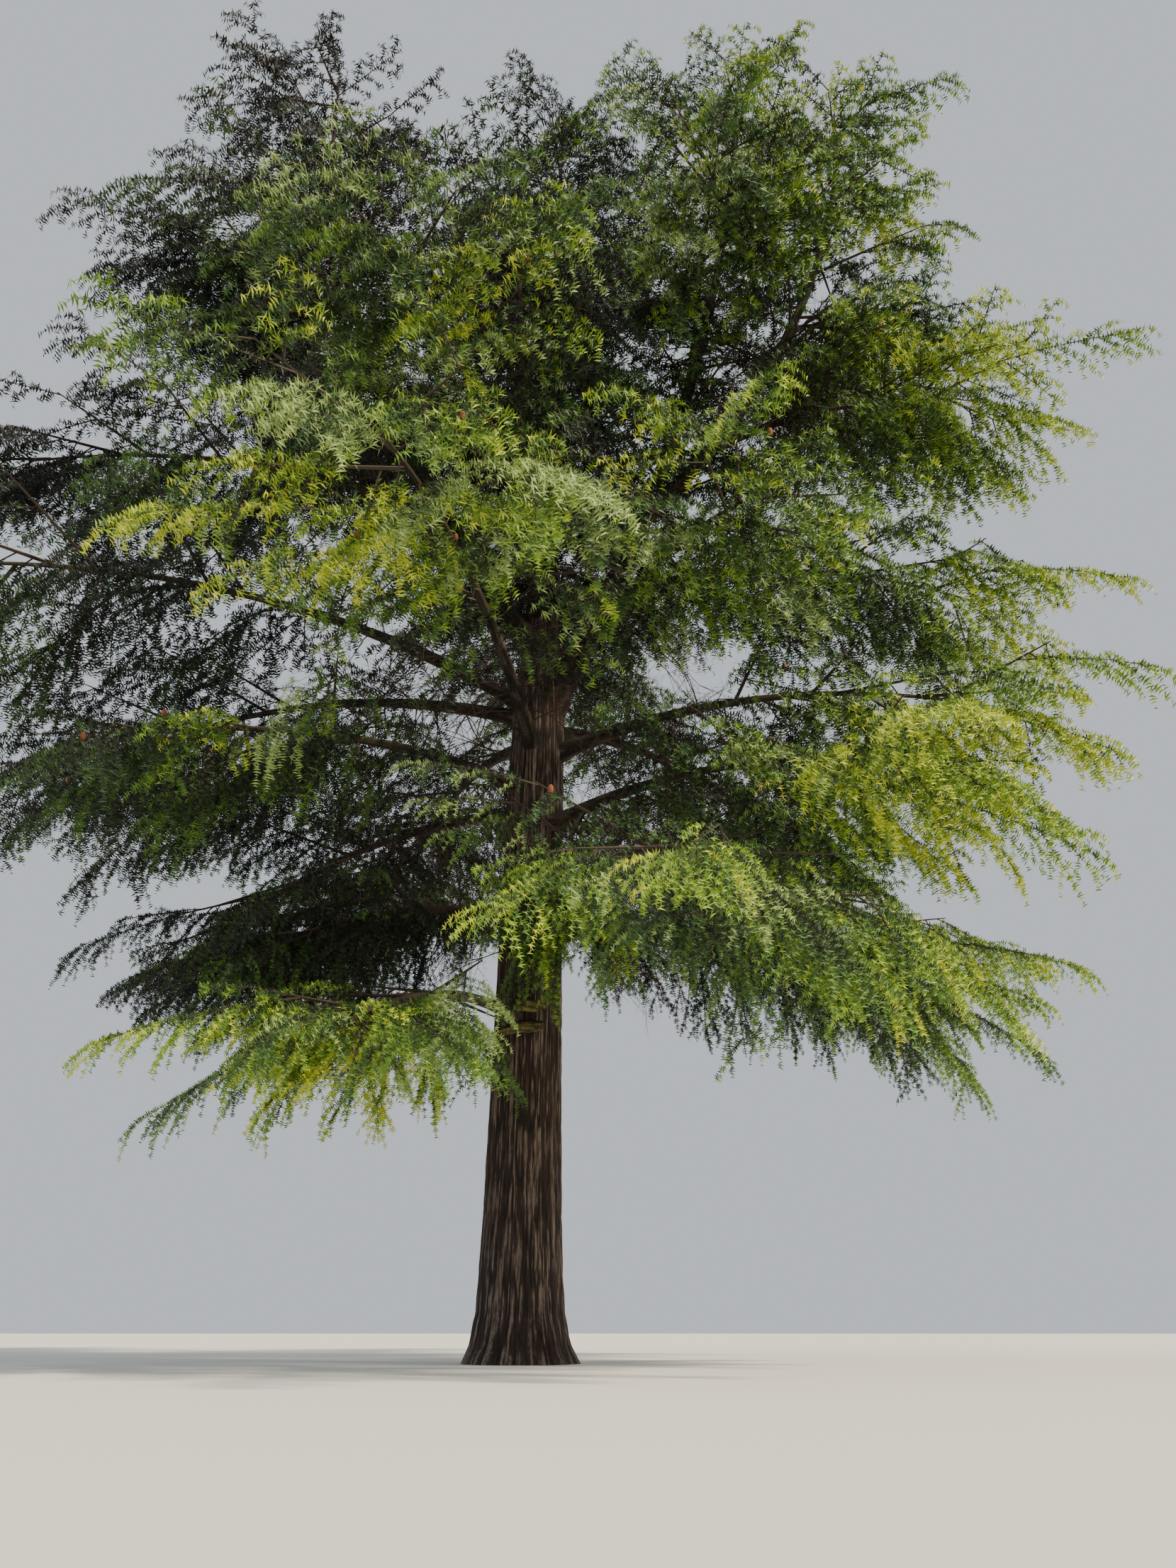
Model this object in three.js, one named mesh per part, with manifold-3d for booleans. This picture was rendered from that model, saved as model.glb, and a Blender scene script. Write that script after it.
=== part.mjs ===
// A mature weeping cedar, about 21 m tall and 18 m across, in millimetres, +Z up.
// The trunk stands on a flat cut at ground level, with its middle at the origin, and forks at about 8 m
// into upright leaders. Level boughs leave the trunk and the leaders all round. Each limb ends in one mass
// of foliage: a stem that carries on the limb's curve, side twigs, and drooping toothed sprays of needles.
// -Y is the side that faces the viewer, and azimuths are degrees turned from +X towards +Y.
import * as THREE from "three";
import { mergeVertices } from "three/addons/utils/BufferGeometryUtils.js";
import Module from "manifold-3d";

const wasm = await Module();
wasm.setup();

// Clearances
const SEAT_GAP = 0.3; // between a limb and what carries it, and between a limb's tip and its foliage
const CLEAR = 12; // least gap between foliage and anything else

// Trunk: radius at each height, from the flared foot to where its own foliage begins
const TRUNK_PROFILE = [
  [0, 640],
  [180, 555],
  [500, 485],
  [1300, 445],
  [2900, 412],
  [5000, 380],
  [6600, 358],
  [8000, 335],
  [9000, 235],
  [11500, 170],
  [14500, 105],
  [15900, 72],
];
const TRUNK_SIDES = 16;
const TRUNK = { azimuth: 60, turn: 0, rise: 89.2, fall: 87.2, length: 19600 };

// Leaders: upright limbs. foot is the height where each leaves its carrier, and length runs to the top of
// its foliage, of which the share bare is limb alone.
const LEADERS = {
  leader_right: {
    from: "trunk", foot: 7700, azimuth: 6, turn: -46, rise: 63, fall: 86,
    length: 12600, bare: 0.66, root: 190,
  },
  leader_left: {
    from: "trunk", foot: 8800, azimuth: 208, turn: -4, rise: 45, fall: 93,
    length: 10400, bare: 0.63, root: 165,
  },
  leader_back: {
    from: "trunk", foot: 8300, azimuth: 98, turn: -20, rise: 63, fall: 90,
    length: 12600, bare: 0.64, root: 170,
  },
  leader_front: {
    from: "trunk", foot: 9300, azimuth: 262, turn: 4, rise: 40, fall: 90,
    length: 6200, bare: 0.5, root: 120,
  },
  leader_outer: {
    from: "leader_right", foot: 11100, azimuth: -14, turn: -12, rise: 40, fall: 90,
    length: 8100, bare: 0.56, root: 105,
  },
};

// Boughs, in tiers from the lowest up. Each row: carrier, foot height, azimuth, whole length, and what is
// that bough's own.
// A tier shares its bare share, the pitch it leaves with and ends with, its root radius, and its foliage's
// spread and how steeply that weeps.
const TIERS = {
  low: {
    bare: 0.34, rise: 8, fall: -30, root: 90, spread: 1500, weep: 0.6,
    boughs: [
      ["trunk", 4400, -67, 6000, { rise: 28, fall: -48, spread: 1800, weep: 1 }],
      ["trunk", 3650, -114, 3800, { bare: 0.44, spread: 1200 }],
      ["trunk", 4700, -16, 4600],
      ["trunk", 5000, 197, 3100],
    ],
  },
  weeping: {
    bare: 0.38, rise: 10, fall: -24, root: 96, spread: 1750, weep: 1,
    boughs: [
      ["trunk", 6150, -42, 5300],
      ["trunk", 6700, 216, 5300],
      ["trunk", 6300, 32, 6200],
      ["trunk", 6450, 148, 5800],
    ],
  },
  broad: {
    bare: 0.4, rise: 24, fall: -18, root: 110, spread: 2000, weep: 1,
    boughs: [
      ["trunk", 7200, -101, 6500],
      ["trunk", 7900, 202, 8000],
      ["trunk", 7150, -10, 6000],
      ["trunk", 7600, 56, 7900],
      ["trunk", 7400, 112, 7700],
      ["trunk", 7750, 160, 7900],
      ["leader_right", 8800, -62, 4400, { rise: 16, fall: -20, spread: 1750 }],
    ],
  },
  shoulder: {
    bare: 0.38, rise: 26, fall: -10, root: 80, spread: 1750, weep: 1,
    boughs: [
      ["leader_front", 10600, -112, 4500],
      ["leader_outer", 12100, -8, 3700],
      ["leader_right", 9800, 14, 5900],
      ["leader_back", 10900, 86, 5300],
      ["leader_left", 10600, 182, 6000],
    ],
  },
  upper: {
    bare: 0.36, rise: 42, fall: 12, root: 58, spread: 1450, weep: 1,
    boughs: [
      ["leader_right", 13400, -86, 3300],
      ["leader_left", 13500, 186, 2300],
      ["leader_left", 12600, 112, 4100],
      ["leader_outer", 14000, 38, 2300],
    ],
  },
};

// Foliage growth: a spire stands on a leader, a pad spreads flat and weeps from a bough. Both are a stem
// with side twigs, and sprays of needles on the twigs and on the stem.
const FLATNESS = 1.4; // how much more a mass's space counts height than breadth
const HANG = 350; // how far below its stem the middle of a pad's space lies
const SPIRE = { twigs: 6, spread: 1650, stemRadius: 62 };
const PAD = { twigs: 5, stemRadius: 58 };
const STEM = { sides: 4, steps: 3, tip: 20 };
const TWIG = { sides: 3, root: 36 };
const SPRAY = { length: 2000, width: 1180, thickness: 90 };
const LIMB_SIDES = 6;
const LIMB_STEPS = 4;
const TRIES = 5; // turns that a spray is given to find room
const FINENESS = 10; // the least detail that a finished mass keeps
const LOWEST_FOLIAGE = 2050;

const GOLDEN_ANGLE = 137.5;
const rad = THREE.MathUtils.degToRad;

// A seeded draw between two limits, the same each time the file runs.
function draws(seed) {
  let state = Math.imul(seed + 1, 2654435769) >>> 0;
  return (low, high) => {
    state = (Math.imul(state, 1664525) + 1013904223) >>> 0;
    return low + ((high - low) * state) / 2 ** 32;
  };
}

function direction(azimuth, pitch) {
  const level = Math.cos(rad(pitch));
  return new THREE.Vector3(
    level * Math.cos(rad(azimuth)),
    level * Math.sin(rad(azimuth)),
    Math.sin(rad(pitch)),
  );
}

// An arc is a limb's whole centre line. Azimuth and pitch turn evenly along it. A share is a place on it.
const ARC_PIECES = 48;

class Arc {
  constructor(start, { azimuth, turn = 0, rise, fall = rise, length }) {
    Object.assign(this, { start, azimuth, turn, rise, fall, length });
  }

  heading(share) {
    return this.azimuth + this.turn * share;
  }

  pitch(share) {
    return this.rise + (this.fall - this.rise) * share;
  }

  point(share) {
    const whole = share * ARC_PIECES;
    const p = this.start.clone();
    for (let i = 0; i < whole; i++) {
      const part = Math.min(1, whole - i);
      const middle = (i + part / 2) / ARC_PIECES;
      const way = direction(this.heading(middle), this.pitch(middle));
      p.addScaledVector(way, (this.length / ARC_PIECES) * part);
    }
    return p;
  }

  // A place on the arc, with the way ahead and the level way to its side.
  station(share) {
    return {
      at: this.point(share),
      ahead: direction(this.heading(share), this.pitch(share)),
      side: direction(this.heading(share) + 90, 0),
    };
  }

  stations(from, to, steps) {
    return Array.from({ length: steps + 1 }, (_, i) => this.station(from + ((to - from) * i) / steps));
  }

  // The share of the length at which the arc reaches a height.
  shareAt(height) {
    let low = 0;
    let high = 1;
    for (let i = 0; i < 30; i++) {
      const middle = (low + high) / 2;
      if (this.point(middle).z < height) low = middle;
      else high = middle;
    }
    return low;
  }
}

function toSolid(geometry) {
  const bare = geometry.clone();
  bare.deleteAttribute("normal");
  bare.deleteAttribute("uv");
  const merged = mergeVertices(bare, 1e-2);
  return new wasm.Manifold(
    new wasm.Mesh({
      numProp: 3,
      vertProperties: new Float32Array(merged.getAttribute("position").array),
      triVerts: new Uint32Array(merged.index.array),
    }),
  );
}

function toGeometry(solid) {
  const mesh = solid.getMesh();
  const geometry = new THREE.BufferGeometry();
  geometry.setAttribute("position", new THREE.BufferAttribute(mesh.vertProperties, 3));
  geometry.setIndex(new THREE.BufferAttribute(mesh.triVerts, 1));
  return geometry;
}

// A round tapering limb: a lathe whose profile is closed on its axis, with one ring carried to each station.
function limbSolid(stations, radii, sides) {
  const profile = [new THREE.Vector2(0, 0)];
  radii.forEach((r, i) => profile.push(new THREE.Vector2(r, i)));
  if (radii.at(-1) > 0) profile.push(new THREE.Vector2(0, radii.length - 1));
  const geometry = new THREE.LatheGeometry(profile, sides);
  const position = geometry.getAttribute("position");
  for (let i = 0; i < position.count; i++) {
    const { at, ahead, side } = stations[Math.round(position.getY(i))];
    const above = new THREE.Vector3().crossVectors(ahead, side);
    const p = at.clone().addScaledVector(side, position.getX(i)).addScaledVector(above, -position.getZ(i));
    position.setXYZ(i, p.x, p.y, p.z);
  }
  return toSolid(geometry);
}

// A spray of needles: a blade of three pointed fingers along +X from its root, with a ridge above and below.
const SPRAY_OUTLINE = [
  [0, 0],
  [0.42, -0.46],
  [0.54, -0.2],
  [1, 0],
  [0.66, 0.22],
  [0.58, 0.5],
];
const SPRAY_RIDGE = 0.42;
const SPRAY_SAG = 0.14;

function sprayGeometry(length, width, thickness) {
  const at = (x, y, z) => new THREE.Vector3(x * length, y * width, z - SPRAY_SAG * length * x * x);
  const rim = SPRAY_OUTLINE.map(([x, y]) => at(x, y, 0));
  const above = at(SPRAY_RIDGE, 0, thickness / 2);
  const below = at(SPRAY_RIDGE, 0, -thickness / 2);
  const points = rim.flatMap((p, i) => {
    const next = rim[(i + 1) % rim.length];
    return [above, p, next, below, next, p];
  });
  return new THREE.BufferGeometry().setFromPoints(points);
}

function spraySolid({ root, azimuth, pitch, roll, size }) {
  const geometry = sprayGeometry(SPRAY.length * size, SPRAY.width * size, SPRAY.thickness);
  const frame = new THREE.Matrix4()
    .makeTranslation(root.x, root.y, root.z)
    .multiply(new THREE.Matrix4().makeRotationZ(rad(azimuth)))
    .multiply(new THREE.Matrix4().makeRotationY(rad(-pitch)))
    .multiply(new THREE.Matrix4().makeRotationX(rad(roll)));
  return toSolid(geometry.applyMatrix4(frame));
}

// Limbs: each keeps its solid, and the same solid grown by the seat gap to cut what it carries
const limbs = new Map();

function limbRadius(root, tip, share) {
  return tip + (root - tip) * (1 - share) ** 1.25;
}

function keepLimb(name, arc, spec, stations, radii, sides, carrier) {
  const gap = SEAT_GAP / Math.cos(Math.PI / sides);
  const whole = limbSolid(stations, radii, sides);
  limbs.set(name, {
    ...spec,
    arc,
    solid: carrier ? whole.subtract(carrier.grown) : whole,
    grown: limbSolid(stations, radii.map((r) => r + gap), sides),
  });
}

// The trunk's rings lie level, so that its foot is a flat cut, and only the last one faces along the trunk.
function addTrunk() {
  const arc = new Arc(new THREE.Vector3(), TRUNK);
  const shares = TRUNK_PROFILE.map(([z]) => arc.shareAt(z));
  const stations = shares.map((share) => arc.station(share));
  for (const station of stations.slice(0, -1)) station.ahead = new THREE.Vector3(0, 0, 1);
  stations[0].at.set(0, 0, 0);
  const radii = TRUNK_PROFILE.map(([, r]) => r);
  const spec = { bare: shares.at(-1), tip: radii.at(-1), spire: true };
  keepLimb("trunk", arc, spec, stations, radii, TRUNK_SIDES);
}

function addLimb(name, from, foot, spec) {
  const carrier = limbs.get(from);
  const arc = new Arc(carrier.arc.point(carrier.arc.shareAt(foot)), spec);
  const stations = arc.stations(0, spec.bare, LIMB_STEPS);
  const radii = stations.map((_, i) => limbRadius(spec.root, spec.tip, i / LIMB_STEPS));
  keepLimb(name, arc, spec, stations, radii, LIMB_SIDES, carrier);
}

addTrunk();
for (const [name, { from, foot, ...spec }] of Object.entries(LEADERS)) {
  addLimb(name, from, foot, { ...spec, tip: SPIRE.stemRadius, spire: true });
}
for (const [tier, { boughs, ...shared }] of Object.entries(TIERS)) {
  const tip = Math.min(PAD.stemRadius, shared.root * 0.6);
  boughs.forEach(([from, foot, azimuth, length, own], i) => {
    addLimb(`bough_${tier}_${i + 1}`, from, foot, { ...shared, ...own, azimuth, length, tip });
  });
}

// Foliage: each mass keeps to the space that lies nearer to its own stem than to any other stem
const stems = new Map();
for (const [name, limb] of limbs) {
  stems.set(name, limb.arc.stations(limb.bare, 1, STEM.steps));
}

function distanceTo(name, p) {
  const hang = limbs.get(name).spire ? 0 : HANG;
  return Math.min(
    ...stems.get(name).map(({ at }) => Math.hypot(p.x - at.x, p.y - at.y, FLATNESS * (p.z + hang - at.z))),
  );
}

function inOwnSpace(name, solid) {
  const { vertProperties } = solid.getMesh();
  for (let i = 0; i < vertProperties.length; i += 3) {
    const p = new THREE.Vector3(...vertProperties.subarray(i, i + 3));
    if (p.z < LOWEST_FOLIAGE) return false;
    const own = distanceTo(name, p);
    for (const other of stems.keys()) {
      if (other !== name && distanceTo(other, p) < own + CLEAR) return false;
    }
  }
  return true;
}

function boxesNear(a, b) {
  const [p, q] = [a.boundingBox(), b.boundingBox()];
  return [0, 1, 2].every((k) => p.min[k] < q.max[k] + CLEAR && q.min[k] < p.max[k] + CLEAR);
}

function isClear(solid, others) {
  return others.every((other) => !boxesNear(solid, other) || solid.minGap(other, CLEAR) >= CLEAR);
}

// Twigs are straight. Those of a pad leave its stem to both sides, by turns higher and lower, and those of a
// spire leave it all round.
function twigLine({ arc, bare, spire, spread }, index, count, draw) {
  const part = (index + 0.5) / count;
  const share = bare + (1 - bare) * part * 0.92;
  if (spire) {
    return new Arc(arc.point(share), {
      azimuth: arc.azimuth + GOLDEN_ANGLE * index + draw(-15, 15),
      rise: draw(14, 28),
      length: SPIRE.spread * (1.1 - 0.62 * part),
    });
  }
  const side = index % 2 ? 1 : -1;
  const high = index % 4 < 2 ? 12 : -14;
  return new Arc(arc.point(share), {
    azimuth: arc.heading(share) + side * (70 - 34 * part + draw(-8, 8)),
    rise: arc.pitch(share) * 0.4 + high + draw(-5, 5),
    length: spread * Math.sin(Math.PI * (0.26 + 0.5 * part)),
  });
}

// The sprays of a mass: one at its tip, two on each twig and the rest on the stem between the twigs.
function sprayPlan({ arc, bare, spire, weep }, lines, draw) {
  const [full, less] = spire ? [0.84, 0.8] : [0.98, 0.92];
  const hang = spire ? 1 : weep;
  const plan = [];
  const add = (on, share, lean, droop, size) => {
    plan.push({ on, share, lean, droop, size, roll: draw(-30, 30) });
  };
  add(arc, 0.985, draw(-10, 10), spire ? -50 : 14, spire ? 0.6 : 0.9);
  lines.forEach((line, i) => {
    const side = i % 2 ? 1 : -1;
    add(line, 0.7, draw(-8, 8), draw(8, 26) * hang, full);
    add(line, 0.3, -side * draw(40, 56), draw(24, 50) * hang, less);
  });
  for (let i = 0; i + 1 < lines.length; i++) {
    const side = i % 2 ? 1 : -1;
    const round = draw(24, 60);
    const share = bare + ((1 - bare) * (i + 0.1)) / lines.length;
    add(arc, share, spire ? GOLDEN_ANGLE * (i + 0.5) : side * round, draw(20, 46) * hang, full);
  }
  return plan;
}

// A spray that finds no room is turned and hung a little differently, a few times, and then left out.
function placeSpray({ on, share, lean, droop, size, roll }, fits) {
  for (let i = 0; i < TRIES; i++) {
    const solid = spraySolid({
      root: on.point(share),
      azimuth: on.heading(share) + lean + i * (i % 2 ? 11 : -11),
      pitch: on.pitch(share) * 0.4 - droop - 9 * i,
      roll: roll + i * (i % 2 ? -17 : 17),
      size,
    });
    if (fits(solid)) return solid;
  }
  return null;
}

function foliageSolid(name, limb, others, draw) {
  const stations = stems.get(name).map(({ at, ...way }) => ({ at: at.clone(), ...way }));
  stations[0].at.addScaledVector(stations[0].ahead, SEAT_GAP);
  const radii = stations.map((_, i) => limbRadius(limb.tip, STEM.tip, i / STEM.steps));
  const stem = limbSolid(stations, radii, STEM.sides);
  const count = limb.spire ? SPIRE.twigs : PAD.twigs;
  const lines = Array.from({ length: count }, (_, i) => twigLine(limb, i, count, draw));
  const twigs = new Map();
  for (const line of lines) {
    const solid = limbSolid(line.stations(0, 1, 1), [TWIG.root, 0], TWIG.sides);
    if (inOwnSpace(name, solid) && isClear(solid, others)) twigs.set(line, solid);
  }
  const sprays = [];
  for (const place of sprayPlan(limb, lines, draw)) {
    if (place.on !== limb.arc && !twigs.has(place.on)) continue;
    const apart = [...twigs].filter(([line]) => line !== place.on).map(([, solid]) => solid);
    const fits = (solid) => inOwnSpace(name, solid) && isClear(solid, [...others, ...apart, ...sprays]);
    const spray = placeSpray(place, fits);
    if (spray) sprays.push(spray);
  }
  const grown = [...twigs.values(), ...sprays].reduce((whole, solid) => whole.add(solid), stem);
  const bodies = grown.simplify(FINENESS).decompose();
  return bodies.reduce((most, body) => (body.volume() > most.volume() ? body : most)); // no loose scrap
}

// Materials: dark fissured bark, and needles from yellow-green tips to deep green
const bark = new THREE.MeshStandardMaterial({ color: 0x4a3b30, roughness: 0.95, metalness: 0 });
const needles = new THREE.MeshStandardMaterial({ color: 0x5d7a2c, roughness: 0.8, metalness: 0 });

const cedar = new THREE.Group();

function addPart(name, solid, material) {
  const mesh = new THREE.Mesh(toGeometry(solid), material);
  mesh.name = name;
  cedar.add(mesh);
}

for (const [name, limb] of limbs) addPart(name, limb.solid, bark);

const limbSolids = [...limbs.values()].map((limb) => limb.solid);
const masses = [];
for (const [name, limb] of limbs) {
  const others = [...limbSolids, ...masses];
  const mass = foliageSolid(name, limb, others, draws(masses.length));
  masses.push(mass);
  addPart(`foliage_${name.replace("bough_", "").replace("trunk", "leader_middle")}`, mass, needles);
}

export default cedar;
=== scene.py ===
import math

import bpy
import numpy as np
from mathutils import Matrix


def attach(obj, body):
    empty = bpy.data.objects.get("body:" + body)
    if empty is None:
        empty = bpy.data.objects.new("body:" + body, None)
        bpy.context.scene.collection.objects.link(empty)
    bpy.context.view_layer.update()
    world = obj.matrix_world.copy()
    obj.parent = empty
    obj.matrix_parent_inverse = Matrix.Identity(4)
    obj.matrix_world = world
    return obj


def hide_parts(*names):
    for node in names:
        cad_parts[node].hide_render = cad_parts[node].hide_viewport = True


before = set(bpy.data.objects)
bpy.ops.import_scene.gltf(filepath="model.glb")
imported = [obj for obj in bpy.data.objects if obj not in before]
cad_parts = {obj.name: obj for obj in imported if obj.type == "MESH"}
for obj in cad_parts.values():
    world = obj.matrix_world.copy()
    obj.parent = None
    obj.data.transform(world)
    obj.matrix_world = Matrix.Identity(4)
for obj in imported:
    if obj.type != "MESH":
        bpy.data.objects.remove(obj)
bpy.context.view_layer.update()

# Growth
# A cedar's limb bends evenly: its azimuth and pitch, in degrees, turn at a steady rate along one arc. The
# trunk carries leaders and boughs, a leader carries more boughs, and each ends in one mass of foliage.
# Lengths are in metres, and a share is a place along an arc, from 0 at its foot to 1 at its tip.
ARC_PIECES = 48
ARC_SHARES = np.linspace(0, 1, ARC_PIECES + 1)
GOLDEN_ANGLE = 137.5
TINY = 1e-9
SEED_FACTOR, DRAW_FACTOR, DRAW_STEP, DRAW_RANGE = 2654435769, 1664525, 1013904223, 2**32


def direction(azimuth, pitch):
    azimuth, pitch = np.radians(azimuth), np.radians(pitch)
    level = np.cos(pitch)
    return np.stack([level * np.cos(azimuth), level * np.sin(azimuth), np.sin(pitch)], axis=-1)


def unit(vectors):
    return vectors / np.maximum(np.linalg.norm(vectors, axis=-1, keepdims=True), TINY)


class Arc:
    def __init__(self, start, azimuth, rise, length, fall=None, turn=0.0):
        self.azimuth, self.turn, self.length = azimuth, turn, length
        self.rise, self.fall = rise, rise if fall is None else fall
        middles = (np.arange(ARC_PIECES) + 0.5) / ARC_PIECES
        steps = direction(self.heading(middles), self.pitch(middles)) * (length / ARC_PIECES)
        self.knots = np.vstack([np.zeros(3), np.cumsum(steps, axis=0)]) + np.asarray(start)

    def heading(self, share):
        return self.azimuth + self.turn * np.asarray(share)

    def pitch(self, share):
        return self.rise + (self.fall - self.rise) * np.asarray(share)

    def point(self, share):
        return np.stack([np.interp(share, ARC_SHARES, self.knots[:, k]) for k in range(3)], axis=-1)

    def share_at(self, height):
        return float(np.interp(height, self.knots[:, 2], ARC_SHARES))


def draws(seed):
    """A seeded draw between two limits, the same as the source's."""
    state = (seed + 1) * SEED_FACTOR % DRAW_RANGE

    def draw(low, high):
        nonlocal state
        state = (state * DRAW_FACTOR + DRAW_STEP) % DRAW_RANGE
        return low + (high - low) * state / DRAW_RANGE

    return draw


# The trunk's radius at each height, from its flared foot to where its own foliage begins.
TRUNK_PROFILE = np.array([
    [0, 0.64], [0.18, 0.555], [0.5, 0.485], [1.3, 0.445], [2.9, 0.412], [5.0, 0.38],
    [6.6, 0.358], [8.0, 0.335], [9.0, 0.235], [11.5, 0.17], [14.5, 0.105], [15.9, 0.072],
])
TRUNK_LEAN = dict(azimuth=60, rise=89.2, fall=87.2, length=19.6)
LEADERS = {
    "leader_right": dict(
        on="trunk", foot=7.7, azimuth=6, turn=-46, rise=63, fall=86, length=12.6, bare=0.66, root=0.19),
    "leader_left": dict(
        on="trunk", foot=8.8, azimuth=208, turn=-4, rise=45, fall=93, length=10.4, bare=0.63, root=0.165),
    "leader_back": dict(
        on="trunk", foot=8.3, azimuth=98, turn=-20, rise=63, fall=90, length=12.6, bare=0.64, root=0.17),
    "leader_front": dict(
        on="trunk", foot=9.3, azimuth=262, turn=4, rise=40, fall=90, length=6.2, bare=0.5, root=0.12),
    "leader_outer": dict(
        on="leader_right", foot=11.1, azimuth=-14, turn=-12, rise=40, fall=90, length=8.1, bare=0.56,
        root=0.105),
}
# A row of a tier is one bough: what carries it, the height of its foot, its azimuth and its length.
TIERS = {
    "low": dict(bare=0.34, rise=8, fall=-30, root=0.09, spread=1.5, weep=0.6, boughs=[
        ("trunk", 4.4, -67, 6.0, dict(rise=28, fall=-48, spread=1.8, weep=1, fringe=8)),
        ("trunk", 3.65, -114, 3.8, dict(bare=0.44, spread=1.2, leafless=True)),
        ("trunk", 4.7, -16, 4.6),
        ("trunk", 5.0, 197, 3.1),
    ]),
    "weeping": dict(bare=0.38, rise=10, fall=-24, root=0.096, spread=1.75, weep=1, boughs=[
        ("trunk", 6.15, -42, 5.3),
        ("trunk", 6.7, 216, 5.3),
        ("trunk", 6.3, 32, 6.2),
        ("trunk", 6.45, 148, 5.8),
    ]),
    "broad": dict(bare=0.4, rise=24, fall=-18, root=0.11, spread=2.0, weep=1, boughs=[
        ("trunk", 7.2, -101, 6.5),
        ("trunk", 7.9, 202, 8.0),
        ("trunk", 7.15, -10, 6.0),
        ("trunk", 7.6, 56, 7.9),
        ("trunk", 7.4, 112, 7.7),
        ("trunk", 7.75, 160, 7.9),
        ("leader_right", 8.8, -62, 4.4, dict(rise=16, fall=-20, spread=1.75)),
    ]),
    "shoulder": dict(bare=0.38, rise=26, fall=-10, root=0.08, spread=1.75, weep=1, boughs=[
        ("leader_front", 10.6, -112, 4.5),
        ("leader_outer", 12.1, -8, 3.7),
        ("leader_right", 9.8, 14, 5.9),
        ("leader_back", 10.9, 86, 5.3),
        ("leader_left", 10.6, 182, 6.0),
    ]),
    "upper": dict(bare=0.36, rise=42, fall=12, root=0.058, spread=1.45, weep=1, boughs=[
        ("leader_right", 13.4, -86, 3.3),
        ("leader_left", 13.5, 186, 2.3),
        ("leader_left", 12.6, 112, 4.1),
        ("leader_outer", 14.0, 38, 2.3),
    ]),
}
SPIRE_TIP, PAD_TIP, TIP_OF_ROOT = 0.062, 0.058, 0.6


def trunk_radius(height):
    return np.interp(height, TRUNK_PROFILE[:, 0], TRUNK_PROFILE[:, 1])


limbs = {}
trunk_arc = Arc((0, 0, 0), **TRUNK_LEAN)
limbs["trunk"] = dict(
    arc=trunk_arc, bare=trunk_arc.share_at(TRUNK_PROFILE[-1, 0]), tip=TRUNK_PROFILE[-1, 1], spire=True)


def add_limb(name, on, foot, azimuth, length, rise, fall, turn=0.0, **rest):
    carrier = limbs[on]["arc"]
    arc = Arc(carrier.point(carrier.share_at(foot)), azimuth, rise, length, fall, turn)
    limbs[name] = dict(arc=arc, on=on, foot=foot, **rest)


for name, spec in LEADERS.items():
    add_limb(name, tip=SPIRE_TIP, spire=True, **spec)
for tier, spec in TIERS.items():
    shared = {key: value for key, value in spec.items() if key != "boughs"}
    tip = min(PAD_TIP, shared["root"] * TIP_OF_ROOT)
    for i, (on, foot, azimuth, length, *own) in enumerate(spec["boughs"]):
        facts = {**shared, **(own[0] if own else {})}
        add_limb(f"bough_{tier}_{i + 1}", on, foot, azimuth, length, tip=tip, spire=False, **facts)


# Trunk
# Old cedar bark: dark grey-brown, split by narrow upright fissures into long flaking strips, with redder
# wood showing in the splits. The trunk stands on a flared foot and is ribbed where the big roots begin.
TRUNK_TOP, FOOT_TOP = 10.2, 0.6
TRUNK_AROUND, TRUNK_ROWS, FOOT_ROWS = 320, 225, 22
ROOT_RIBS, RIB_SHIFT, RIB_DEPTH, FLARE_HEIGHT = 5, 0.4, 0.045, 0.42
BARK_DARK, BARK_MID, BARK_PALE, BARK_RED = "#18120f", "#352a25", "#7d6e63", "#4f3124"
# Painted shade: the limbs' bark takes the trunk's colours made darker, as in the crown's shade.
SHADED_LIMB_DARK, SHADED_LIMB_MID, SHADED_LIMB_PALE = "#15110d", "#2c241d", "#5d5348"
OLD_DARK, OLD_MID, OLD_PALE = "#1f1c19", "#514b45", "#8d867c"
# Strips are about 23 mm wide and half a metre long, with fissures up to 20 mm deep between them.
STRIP_WIDTH, STRIP_LENGTH, FISSURE = 0.023, 0.55, 0.028
FEWEST_STRIPS = 7
WANDERS, WANDER_LENGTH, WANDER_WIDTH = 9, 2.2, 2.4
STRIP_PART, SPLIT_PART, FINE_PART = 0.5, 0.22, 0.28
STRIP_EDGE, STRIP_ROUND, SPLIT_EDGE, SPLIT_LENGTH, FINE_LENGTH = 0.6, 0.8, 0.5, 0.6, 0.25
RELIEF_LEVEL = 0.7
LATTICE_ROWS = 512
# Weathering lies along the grain in streaks 22 mm wide and 170 mm long, with finer ones inside them. Real
# streaks are a few millimetres wide, too fine to show here. Redder patches are about 0.9 m across.
STREAK_SPREAD, STREAK_SCALE, STREAK_DETAIL, STREAK_ROUGHNESS = (30, 30, 4), 1.5, 5, 0.65
WEATHERING, WEATHER_LEVEL = 0.9, -0.4
PATCH_SCALE, PATCH_DETAIL, RED_FROM, RED_FULL, RED_MOST = 1.1, 3, 0.5, 0.8, 0.35
DARK_AT, MID_AT, PALE_AT = 0.3, 0.68, 1.0
BARK_ROUGHNESS, BUMP_STRENGTH, BUMP_HEIGHT = 0.95, 0.8, 0.01


def linear(colour):
    parts = [int(colour[i:i + 2], 16) / 255 for i in (1, 3, 5)]
    return [c / 12.92 if c <= 0.04045 else ((c + 0.055) / 1.055) ** 2.4 for c in parts] + [1.0]


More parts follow.
